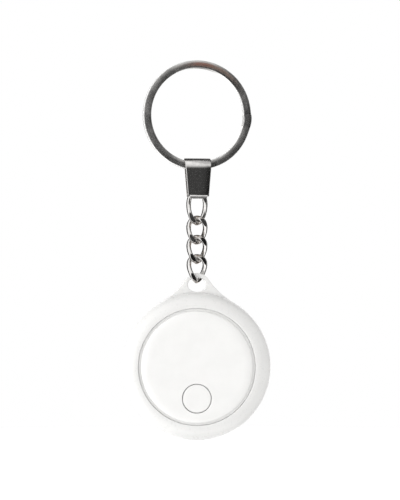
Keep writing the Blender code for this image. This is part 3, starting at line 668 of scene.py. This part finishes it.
def bail_stations():
    """Points of the sheet's middle from the front foot over the roll to the rear foot.

    Each is (depth, height, outward depth, outward height).
    """
    front_steps = 14
    front_roll_steps = 24
    rear_roll_steps = 20
    rear_steps = 12
    radius = BAIL_INNER_RADIUS + BAIL_SHEET / 2
    front = radius + BAIL_BOW
    tall = radius + BAIL_SHOULDER
    straight = BAIL_FOOT_DROP - BAIL_FOOT_BEVEL
    stations = [(-front, -BAIL_FOOT_DROP, -1.0, 0.0), (-front, 0.03 * MM - BAIL_FOOT_DROP, -1.0, 0.0)]
    for step in range(front_steps):
        share = step / front_steps
        stations.append((-front, -straight * (1 - share) - BAIL_SHOULDER * share, -1.0, 0.0))
    for step in range(front_roll_steps + 1):
        across, up = on_circle(1, pi - QUARTER * step / front_roll_steps)
        out = Vector((across / front, up / tall)).normalized()
        stations.append((front * across, tall * up - BAIL_SHOULDER, out.x, out.y))
    for step in range(1, rear_roll_steps + 1):
        across, up = on_circle(1, QUARTER * (1 - step / rear_roll_steps))
        stations.append((radius * across, radius * up, across, up))
    for step in range(1, rear_steps + 1):
        stations.append((radius, -straight * step / rear_steps, 1.0, 0.0))
    stations.append((radius, -BAIL_FOOT_DROP, 1.0, 0.0))
    return stations


def bail_half_width(depth, height):
    """Half the sheet's width: it tapers towards both feet, and the rear plate is the narrower one."""
    radius = BAIL_INNER_RADIUS + BAIL_SHEET / 2
    taper = min(1.0, (radius - height) / (radius + BAIL_FOOT_DROP))
    width = BAIL_TOP_WIDTH + (BAIL_FOOT_WIDTH - BAIL_TOP_WIDTH) * taper
    return width / 2 - BAIL_REAR_INSET * max(0.0, depth / radius)


def sheet_section(half_width, lowered):
    """Flat sheet seen end on, its outer long edges cut by a soft bevel, as (x, out) pairs.

    Lowered is how far the outer face drops, as it does at the feet.
    """
    half = BAIL_SHEET / 2
    flat = half_width - BAIL_BEVEL_WIDTH
    low = half - BAIL_BEVEL_DEPTH
    chamfer = 0.05 * MM
    right = []
    for x, out in arc((flat, low), (BAIL_BEVEL_WIDTH, BAIL_BEVEL_DEPTH), QUARTER, 0, 5):
        right.append((x, min(out, half - lowered)))
    right += [(half_width, chamfer - half), (half_width - chamfer, -half)]
    left = [(-x, out) for x, out in reversed(right)]
    return [(0, half - lowered)] + right + [(0, -half)] + left


def bail_lip(inner, facing):
    """Tongue below one plate, which starts at the plate's inner face and is bevelled at its foot."""
    levels = []
    for fall, set_back in ((-0.2 * MM, 0.12 * MM), (0.0, 0.02 * MM), (BAIL_LIP_DROP, 0.18 * MM)):
        half = BAIL_LIP_WIDTH / 2 - 0.1 * max(0.0, fall)
        near_y = inner + facing * 0.01 * MM
        far_y = inner + facing * (BAIL_SHEET - set_back)
        z = -BAIL_FOOT_DROP - fall
        levels.append([(-half, near_y, z), (half, near_y, z), (half, far_y, z), (-half, far_y, z)])
    return skin(levels)


def make_bail():
    """Strap rolled round the ring, with an ear and a tongue at each foot and a bar between them."""
    stations = bail_stations()
    rings = []
    for index, (depth, height, out_y, out_z) in enumerate(stations):
        half_width = bail_half_width(depth, height)
        lowered = BAIL_FOOT_BEVEL_DEPTH if index < 2 or index == len(stations) - 1 else 0.0
        ring = []
        for x, out in sheet_section(half_width, lowered):
            out += BAIL_BARREL * out_y * out_y * (1 - (x / half_width) ** 2)
            ring.append(Vector((x, depth + out_y * out, height + out_z * out)))
        rings.append(ring)
    bail = mesh_object("bail_strap", skin(rings))
    front = -(BAIL_INNER_RADIUS + BAIL_BOW)
    extras = []
    for inner, facing in ((front, -1), (BAIL_INNER_RADIUS, 1)):
        ear = rod(BAIL_EAR_RADIUS, inner + facing * 0.03 * MM, inner + facing * (BAIL_SHEET - 0.24 * MM),
                  -BAIL_FOOT_DROP)
        extras += [ear, bail_lip(inner, facing)]
    half = BAIL_SHEET / 2
    extras.append(rod(BAIL_BAR_RADIUS, front - half, BAIL_INNER_RADIUS + half, -BAIL_FOOT_DROP))
    combine(bail, extras, "UNION")
    bail.data.transform(Matrix.Translation((0, 0, BAIL_Z)) @ Matrix.Rotation(RING_TURN, 4, "Z"))
    dress(bail.data, bail_metal())
    stand_for(bail, "bail", "bail")


# ---------------- chain
def flatten(value, limit):
    """Hold a depth inside a limit with a short soft shoulder, as grinding leaves it."""
    shoulder = 0.05 * MM
    over = abs(value) - (limit - shoulder)
    if over <= 0:
        return value
    return copysign(limit - shoulder + shoulder * tanh(over / shoulder), value)


def link_shape(half_height, twist):
    """Twisted oval link, ground flat on both faces; its limbs leave its plane in opposite directions."""
    limit = twist + WIRE_RADIUS - LINK_FACET
    rings = []
    for index in range(LINK_STEPS):
        angle = tau * index / LINK_STEPS
        centre = Vector((LINK_HALF_WIDTH * sin(angle), -twist * sin(2 * angle),
                         half_height * cos(angle)))
        along = Vector((LINK_HALF_WIDTH * cos(angle), -2 * twist * cos(2 * angle),
                        -half_height * sin(angle))).normalized()
        front = (Vector((0, 1, 0)) - along * along.y).normalized()
        across = along.cross(front)
        ring = []
        for k in range(LINK_SIDES):
            turn = tau * k / LINK_SIDES
            point = centre + WIRE_RADIUS * (across * cos(turn) + front * sin(turn))
            point.y = flatten(point.y, limit)
            ring.append(point)
        rings.append(ring)
    return skin(rings, closed=True)


def make_chain():
    """Four curb links, each turned a little further about the vertical than the one above it."""
    for number, turn in enumerate(LINK_TURNS):
        node = f"chain_link_{number + 1}"
        low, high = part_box(node)
        half_height = (high.z - low.z) / 2 - WIRE_RADIUS
        twist = LINK_TWIST if number else END_LINK_TWIST
        shape = move(link_shape(half_height, twist), (0, 0, middle(node).z), turn)
        metal = chain_metal(f"bright_nickel_{number + 1}", high.z, low.z)
        link = mesh_object(f"curb_link_{number + 1}", shape, metal, 60)
        stand_for(link, node, f"link_{number + 1}")


# ---------------- tag case
def lug_outline(inset):
    """Lug seen from the front: a round head that runs into the case by two wide hollow curves."""
    head = LUG_HEAD_RADIUS - inset
    fillet = LUG_FILLET + inset
    rim = CASE_RADIUS - inset
    centre_z = (LUG_HEAD_Z ** 2 + (rim + fillet) ** 2 - (head + fillet) ** 2) / (2 * LUG_HEAD_Z)
    centre_x = sqrt((rim + fillet) ** 2 - centre_z ** 2)
    head_angle = atan2(centre_z - LUG_HEAD_Z, centre_x)
    rim_angle = atan2(centre_z, centre_x)
    right = round_off((centre_x, centre_z), fillet, rim_angle + pi, head_angle + pi, 24)
    top = round_off((0, LUG_HEAD_Z), head, head_angle, pi - head_angle, 40)
    left = [(-x, z) for x, z in reversed(right)]
    root = round_off((0, 0), LUG_ROOT_RADIUS, pi - rim_angle, rim_angle, 12)
    return right + top[1:-1] + left + root


def make_lug():
    """Plate of the lug with softly rounded edges."""
    levels = arc((LUG_HALF_DEPTH - LUG_EDGE, LUG_EDGE), (LUG_EDGE, -LUG_EDGE), 0, QUARTER, 4)
    levels = [(-y, inset) for y, inset in levels] + levels[::-1]
    return move(stack([(lug_outline(inset), y) for y, inset in levels]), TAG)


def make_lug_hole():
    """Cutter for the lug's hole: an oval waist that flares softly towards both faces."""
    levels = arc((LUG_HALF_DEPTH - LUG_EDGE, LUG_EDGE), (LUG_EDGE, -LUG_EDGE), QUARTER, 0, 5)[1:]
    levels.append((LUG_HALF_DEPTH + 0.4 * MM, 1.6 * LUG_EDGE))
    levels = [(-y, grow) for y, grow in reversed(levels)] + [(0, 0)] + levels
    ovals = []
    for y, grow in levels:
        oval = arc((0, HOLE_Z), (HOLE_HALF_WIDTH + grow, HOLE_HALF_HEIGHT + grow), 0, tau, 72)[:-1]
        ovals.append((oval, y))
    return move(stack(ovals), TAG)


def on_tag(radius, angle):
    """Point on a circle about the middle of the tag."""
    x, z = on_circle(radius, angle)
    return TAG + Vector((x, 0, z))


def rear_profile():
    """Half section of the back shell: the seam, the round rim, the back, the door's bore and inside."""
    edge = 0.12 * MM
    inside_bore = DOOR_BORE + 0.9 * MM
    rim = (CASE_RADIUS - REAR_FLAT_RADIUS, BACK_Y - REAR_CROWN_Y)
    profile = round_off((CASE_RADIUS - edge, SEAM_REAR_Y + edge), edge, -QUARTER, 0, 3)
    profile += arc((REAR_FLAT_RADIUS, REAR_CROWN_Y), rim, 0, QUARTER, 20)
    profile.append((DOOR_BORE + edge, BACK_Y))
    profile += round_off((DOOR_BORE + edge, BACK_Y - edge), edge, QUARTER, pi, 3)[1:]
    profile += [(DOOR_BORE, DOOR_LEDGE_Y), (DOOR_THROAT, DOOR_LEDGE_Y),
                (DOOR_THROAT, DOOR_LEDGE_INNER_Y), (inside_bore, DOOR_LEDGE_INNER_Y),
                (inside_bore, REAR_WALL_Y), (CASE_INNER_RADIUS - 1.2 * MM, REAR_WALL_Y),
                (CASE_INNER_RADIUS, 1.3 * MM), (CASE_INNER_RADIUS, SEAM_REAR_Y)]
    return profile


def make_rear_case(material):
    """Back shell with the lug, the door's bore and ledge, and sunk screw holes."""
    case = mesh_object("rear_shell", lathe(rear_profile()))
    joined = [make_lug()]
    cut = [make_lug_hole()]
    outside = BACK_Y + MM
    sink_profile = [(0, SINK_FLOOR_Y), (SINK_RADIUS, SINK_FLOOR_Y), (SINK_RADIUS, BACK_Y - 0.1 * MM),
                    (SINK_MOUTH, BACK_Y + 0.05 * MM), (SINK_MOUTH, outside), (0, outside)]
    for angle in SCREW_ANGLES:
        spot = on_tag(SCREW_CIRCLE, angle)
        boss = rod(SCREW_BOSS, SEAM_REAR_Y + 0.1 * MM, REAR_WALL_Y + 0.3 * MM)
        bore = rod(SCREW_BORE, SEAM_REAR_Y - MM, outside)
        joined.append(move(boss, spot))
        cut += [move(bore, spot), lathe(sink_profile, spot, 40)]
    for angle in DOOR_ANGLES:
        notch = wedge(DOOR_THROAT - 0.5 * MM, DOOR_LUG_RADIUS + 0.2 * MM, DOOR_LEDGE_INNER_Y - 0.5 * MM,
                      DOOR_LEDGE_Y + 0.3 * MM, angle - radians(30), radians(30))
        cut.append(move(notch, TAG))
    combine(case, joined, "UNION")
    combine(case, cut, "DIFFERENCE")
    dress(case.data, material)
    stand_for(case, "rear_case", "tag")


def make_front_case(material):
    """Domed bezel: rounds over from the rim to the soft lip round the face disc."""
    soft = 0.2 * MM
    lip = LIP_RADIUS + soft
    ledge_front_y = -2.85 * MM
    ledge_rear_y = -2.3 * MM
    ledge_radius = 13.8 * MM
    profile = arc((lip, SEAM_FRONT_Y), (CASE_RADIUS - lip, SEAM_FRONT_Y - LIP_Y), 0, -QUARTER, 36)
    profile += arc((lip, LIP_Y + soft), (lip - LIP_RADIUS, soft), -QUARTER, -pi, 6)[1:]
    profile += [(LIP_RADIUS, ledge_front_y), (ledge_radius, ledge_front_y), (ledge_radius, ledge_rear_y),
                (16.6 * MM, ledge_rear_y), (CASE_INNER_RADIUS, -1.5 * MM),
                (CASE_INNER_RADIUS, SEAM_FRONT_Y)]
    case = mesh_object("front_bezel", lathe(profile), material, ROUND_SMOOTH_ANGLE)
    stand_for(case, "front_case", "tag")


def make_cover(material):
    """Raised disc with a pillowed edge, a sunk flange and a round hole for the button."""
    pillow = (2.4 * MM, 0.55 * MM)
    pillow_middle = (COVER_RADIUS - pillow[0], COVER_Y + pillow[1])
    flange_y = -2.92 * MM
    rear_y = -3.4 * MM
    inner_y = rear_y + 0.05 * MM
    recess_radius = 13.9 * MM
    profile = [(radius * MM, COVER_Y) for radius in (0, 2, 4, 6, 8, 10, 11.5)]
    profile += arc(pillow_middle, pillow, -QUARTER, 0, 16)
    profile += [(COVER_RADIUS, rear_y), (COVER_FLANGE, rear_y), (COVER_FLANGE, flange_y),
                (recess_radius, flange_y), (recess_radius, inner_y), (0, inner_y)]
    cover = mesh_object("face_disc", lathe(profile))
    soft = 0.07 * MM
    hole_radius = BUTTON_RADIUS + BUTTON_GAP
    mouth = hole_radius + 0.5 * MM
    hole = [(0, COVER_Y - MM), (mouth, COVER_Y - MM), (mouth, COVER_Y - 0.02 * MM),
            (hole_radius + soft, COVER_Y - 0.002 * MM)]
    hole += round_off((hole_radius + soft, COVER_Y + soft), soft, -QUARTER, -pi, 5)
    hole += [(hole_radius, rear_y + MM), (0, rear_y + MM)]
    combine(cover, [lathe(hole, BUTTON, BUTTON_STEPS)], "DIFFERENCE")
    dress(cover.data, material)
    stand_for(cover, "face_cover", "tag")


def make_button(material):
    """Button cap with a soft edge, its flange behind the disc and a nib for the switch."""
    front_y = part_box("button_cap")[0].y
    soft = 0.08 * MM
    flange = size("button_cap").x / 2
    flange_front_y = -3.25 * MM
    flange_rear_y = -2.95 * MM
    nib = 1.0 * MM
    nib_y = -2.72 * MM
    profile = [(0, front_y), (BUTTON_RADIUS - 1.2 * MM, front_y)]
    profile += round_off((BUTTON_RADIUS - soft, front_y + soft), soft, -QUARTER, 0, 5)
    profile += [(BUTTON_RADIUS, flange_front_y), (flange, flange_front_y), (flange, flange_rear_y),
                (nib, flange_rear_y), (nib, nib_y), (0, nib_y)]
    shape = lathe(profile, BUTTON, BUTTON_STEPS)
    button = mesh_object("button_face", shape, material, ROUND_SMOOTH_ANGLE)
    stand_for(button, "button_cap", "button")


def make_door(material):
    """Round battery door: flange with a seal groove, hollow plug, bayonet lugs and a coin slot."""
    soft = 0.15 * MM
    groove = 12.7 * MM
    groove_rear_y = BACK_Y - 0.2 * MM
    groove_front_y = 3.18 * MM
    seat_y = DOOR_LEDGE_Y + 0.06 * MM
    plug_y = 1.45 * MM
    pocket = 10.9 * MM
    pocket_y = 2.65 * MM
    profile = [(0, BACK_Y), (5 * MM, BACK_Y), (10 * MM, BACK_Y)]
    profile += round_off((DOOR_RADIUS - soft, BACK_Y - soft), soft, QUARTER, 0, 4)
    profile += [(DOOR_RADIUS, groove_rear_y), (groove, groove_rear_y), (groove, groove_front_y),
                (DOOR_RADIUS, groove_front_y), (DOOR_RADIUS, seat_y), (DOOR_PLUG, seat_y),
                (DOOR_PLUG, plug_y), (pocket, plug_y), (pocket, pocket_y), (0, pocket_y)]
    door = mesh_object("door_disc", lathe(profile))
    lugs = []
    for angle in DOOR_ANGLES:
        lug = wedge(DOOR_PLUG - 0.3 * MM, DOOR_LUG_RADIUS, plug_y + 0.03 * MM, 2.0 * MM, angle,
                    radians(24))
        lugs.append(move(lug, TAG))
    combine(door, lugs, "UNION")
    slot = rounded_slot(11 * MM, 1.7 * MM, BACK_Y - 0.6 * MM, BACK_Y + MM)
    floor_y = BACK_Y - 0.12 * MM
    mouth_y = BACK_Y + 0.1 * MM
    trim = [(11.3 * MM, floor_y), (11.6 * MM, floor_y), (11.75 * MM, mouth_y), (11.15 * MM, mouth_y)]
    combine(door, [move(slot, TAG), lathe(trim)], "DIFFERENCE")
    dress(door.data, material)
    stand_for(door, "battery_door", "door")


def make_screws(material):
    """Case screws: domed heads with a cross recess."""
    shank = 0.55 * MM
    tip_y = -1.9 * MM
    head_y = 3.12 * MM
    crown_y = 3.5 * MM
    dome = (0.25 * MM, 0.2 * MM)
    profile = [(0, tip_y), (shank - 0.15 * MM, tip_y), (shank, tip_y + 0.2 * MM), (shank, head_y),
               (SCREW_HEAD, head_y), (SCREW_HEAD, crown_y)]
    profile += arc((SCREW_HEAD - dome[0], crown_y), dome, 0, QUARTER, 5)[1:]
    profile += [(0, crown_y + dome[1])]
    for number, angle in enumerate(SCREW_ANGLES):
        spot = on_tag(SCREW_CIRCLE, angle)
        screw = mesh_object(f"screw_{number + 1}", lathe(profile, spot, 48))
        arms = []
        for arm in range(2):
            bar = rounded_slot(1.3 * MM, 0.3 * MM, 3.3 * MM, 4.2 * MM, steps=6)
            tilt = Matrix.Rotation(arm * QUARTER + angle, 4, "Y")
            bmesh.ops.transform(bar, matrix=Matrix.Translation(spot) @ tilt, verts=bar.verts)
            arms.append(bar)
        combine(screw, arms, "DIFFERENCE")
        dress(screw.data, material)
        stand_for(screw, f"case_screw_{number + 1}", "tag")


# ---------------- inside
# node, material, light, dark, roughness, grain in features for each millimetre, depth in millimetres
MOULDED_PARTS = (
    ("radio_chip", "chip_epoxy", (0.035, 0.035, 0.037), (0.018, 0.018, 0.020), 0.48, 6.0, 0.01),
    ("chip_antenna", "antenna_ceramic", (0.80, 0.77, 0.70), (0.68, 0.64, 0.56), 0.45, 3.0, 0.01),
    ("switch_body", "switch_nylon", grey(0.045), grey(0.022), 0.52, 5.0, 0.01),
    ("switch_plunger", "plunger_rubber", grey(0.08), grey(0.04), 0.70, 4.0, 0.01),
    ("sounder_foam", "foam_ring", grey(0.15), grey(0.05), 0.90, 7.0, 0.06),
    ("sounder_ceramic", "piezo_ceramic", (0.88, 0.86, 0.80), (0.78, 0.75, 0.68), 0.42, 2.0, 0.01),
    ("sounder_lead_1", "lead_sleeve_red", (0.62, 0.05, 0.04), (0.48, 0.03, 0.03), 0.42, 4.0, 0.005),
    ("sounder_lead_2", "lead_sleeve_black", grey(0.05), grey(0.02), 0.42, 4.0, 0.005),
    ("capacitor_1", "capacitor_ceramic", (0.62, 0.50, 0.36), (0.48, 0.37, 0.25), 0.45, 4.0, 0.01),
    ("cell_gasket", "gasket_rubber", grey(0.07), grey(0.03), 0.68, 4.0, 0.01),
    ("door_seal", "seal_ring_rubber", grey(0.07), grey(0.03), 0.62, 4.0, 0.01),
)


def dress_inside():
    """Give the CAD nodes that stay their materials, by node."""
    steel = worn_metal("cell_shell", (0.80, 0.80, 0.79), grey(0.66), 0.24, TAG)
    looks = {node: steel for node in ("crystal_main", "crystal_clock", "cell_can", "cell_cap")}
    looks["circuit_board"] = circuit_board()
    looks["indicator_led"] = plastic("lens_resin", (0.93, 0.92, 0.84), (0.86, 0.85, 0.74), 0.14, 0.3)
    looks["sounder_disc"] = worn_metal("brass_disc", (0.84, 0.66, 0.32), (0.70, 0.52, 0.23), 0.30, TAG)
    for node, name in (("contact_minus", "gold_leaf"), ("contact_plus", "gold_clip")):
        looks[node] = worn_metal(name, (0.90, 0.72, 0.36), (0.78, 0.58, 0.24), 0.26)
    for node, name, light, dark, roughness, grain, depth_mm in MOULDED_PARTS:
        looks[node] = moulded(name, light, dark, roughness, grain, depth_mm * MM)
    looks.update({f"capacitor_{number}": looks["capacitor_1"] for number in range(2, 5)})
    for node, material in looks.items():
        dress(frame["nodes"][node].data, material)


# ---------------- studio
def panel_light(tree, azimuth, elevation, base, panels):
    """Brightness of a direction: a base level with soft-edged panels laid over it in order."""
    light = base
    for azimuths, elevations, brightness in panels:
        mask = times(tree, between(tree, azimuth, azimuths), between(tree, elevation, elevations))
        light = mix_levels(tree, mask, light, brightness)
    return light


ALL_ROUND = (-400, -399, 399, 400)

SHINE_PANELS = (
    ((40, 60, 100, 101), (-60, -40, 40, 60), 0.60),      # grey wall on the right
    ((-94, -80, -34, -14), (-52, -28, 34, 58), 1.15),    # soft light on the left
    (ALL_ROUND, (32, 48, 74, 86), 1.05),                 # overhead light in front
    ((26, 44, 100, 101), (32, 48, 74, 86), 0.60),        # its dimmer right part
    (ALL_ROUND, (-64, -58, -44, -34), 1.25),             # edge of the table
    (ALL_ROUND, (-100, -99, -68, -60), 0.10),            # shade under the tag
    ((146, 153, 189, 190), (-60, -42, 30, 42), 1.8),     # lit backdrop
    ((171, 176, 184, 189), (-60, -42, 30, 42), 0.35),    # the stand in its middle
    ((184, 189, 399, 400), (-60, -42, 30, 42), 1.8),     # the backdrop past the stand
    ((72, 84, 139, 147), (-64, -46, 70, 80), 0.05),      # black flags beside the backdrop
    ((-149, -142, -80, -68), (-64, -46, 70, 80), 0.05),
    ((94, 106, 399, 400), (34, 45, 200, 201), 0.06),     # dark ceiling behind the tag
    ((-151, -150, -106, -94), (34, 45, 200, 201), 0.06),
    (ALL_ROUND, (76, 88, 200, 201), 0.06),               # and right above it
    ((-24, -12, 58, 68), (-44, -30, 4, 34), 0.055),      # dark room beside the camera
    ((30, 38, 58, 68), (-44, -30, 8, 34), 0.012),        # its darkest corner
)

FILL_PANELS = (
    ((-106, -92, -70, -35), (-60, -30, 40, 70), 2.8),    # the big light on the left
    ((150, 151, 210, 211), (-91, -90, 90, 91), 0.9),     # the backdrop
    (ALL_ROUND, (25, 70, 200, 201), 0.40),               # little light from above
    (ALL_ROUND, (-100, -99, -80, -40), 0.68),            # and less from the table
)


def make_world():
    """White backdrop to the camera; soft fill on matt surfaces, a tent of panels in shiny ones.

    A direction is an azimuth, 0 towards the camera and 90 to the right, and an elevation, in degrees.
    Azimuths run from -150 to 210, so that what stands behind the tag isn't cut in two. A panel is
    (azimuths, elevations, brightness), its four edges being outer, inner, inner, outer.
    """
    world = bpy.data.worlds.new("studio")
    bpy.context.scene.world = world
    world.cycles.sampling_method = "NONE"
    world.use_nodes = True
    tree = world.node_tree
    tree.nodes.clear()
    toward = add(tree, "TexCoord").outputs["Generated"]
    split = add(tree, "SeparateXYZ", [(0, toward)])
    ahead = times(tree, split.outputs["Y"], -1.0)
    azimuth = maths(tree, "DEGREES", maths(tree, "ARCTAN2", split.outputs["X"], ahead))
    limits = [(0, azimuth), (1, 210.0), (2, -150.0)]
    azimuth = add(tree, "Math", limits, operation="WRAP").outputs[0]
    elevation = maths(tree, "DEGREES", maths(tree, "ARCSINE", split.outputs["Z"]))
    shine = panel_light(tree, azimuth, elevation, 0.9, SHINE_PANELS)
    fill = panel_light(tree, azimuth, elevation, 1.0, FILL_PANELS)
    rays = add(tree, "LightPath")
    light = mix_levels(tree, rays.outputs["Is Glossy Ray"], fill, shine)
    studio = add(tree, "Background", [("Color", (1.0, 0.995, 0.985, 1.0)), ("Strength", light)])
    backdrop = add(tree, "Background", [("Color", (1.0, 1.0, 1.0, 1.0)), ("Strength", 1.0)])
    shaders = [(0, rays.outputs["Is Camera Ray"]), (1, studio.outputs[0]), (2, backdrop.outputs[0])]
    mixed = add(tree, "MixShader", shaders)
    output = add(tree, "OutputWorld")
    tree.links.new(mixed.outputs[0], output.inputs["Surface"])


def make_floor():
    """Plain pale table top below the hanging tag."""
    drop = 0.035
    shape = bmesh.new()
    bmesh.ops.create_circle(shape, cap_ends=True, radius=0.5, segments=96)
    move(shape, (0, 0, cad_low.z - drop))
    floor = mesh_object("table_top", shape)
    material, tree, shader = new_material("pale_table")
    colour = blend_colours(tree, noise(tree, place_mm(tree), 0.02), grey(0.93), grey(0.97))
    surface(tree, shader, colour, 0.9)
    tree.links.new(colour, shader.inputs["Emission Color"])
    shader.inputs["Emission Strength"].default_value = 0.45
    floor.data.materials.append(material)
    floor.visible_glossy = False
    floor.visible_diffuse = False


def make_camera():
    """Camera square to the hanging tag, with the photograph's narrow view."""
    distance = 0.6
    frame_height = 0.129
    sensor = 36
    aim_x = 0.0008
    aim_z = -0.0469
    camera = bpy.data.cameras.new("camera")
    camera.sensor_width = sensor
    camera.lens = sensor * distance / frame_height
    camera.clip_start = 0.05
    camera.clip_end = 5
    item = bpy.data.objects.new("camera", camera)
    item.location = (aim_x, -distance, aim_z)
    item.rotation_euler = (QUARTER, 0, 0)
    bpy.context.scene.collection.objects.link(item)
    bpy.context.scene.camera = item
    bpy.context.scene.view_settings.view_transform = "Standard"


def main():
    """Stage, then every visible piece from the ring down to the inside."""
    make_camera()
    make_world()
    make_floor()
    # The bezel and back whites are a little darker copies of the face's white: partly their own tone,
    # partly painted shade.
    case_white = plastic("case_plastic", (0.835, 0.835, 0.83), (0.815, 0.815, 0.81), 0.30, 0.06)
    rear_white = plastic("rear_plastic", (0.885, 0.885, 0.88), (0.865, 0.865, 0.86), 0.32, 0.08)
    cover_white = plastic("cover_plastic", (0.905, 0.905, 0.90), (0.885, 0.885, 0.88), 0.34, 0.04)
    make_ring()
    make_bail()
    make_chain()
    make_rear_case(rear_white)
    make_front_case(case_white)
    make_cover(cover_white)
    make_button(cover_white)
    make_door(rear_white)
    make_screws(worn_metal("screw_plate", (0.66, 0.66, 0.67), (0.50, 0.50, 0.51), 0.26))
    dress_inside()


main()
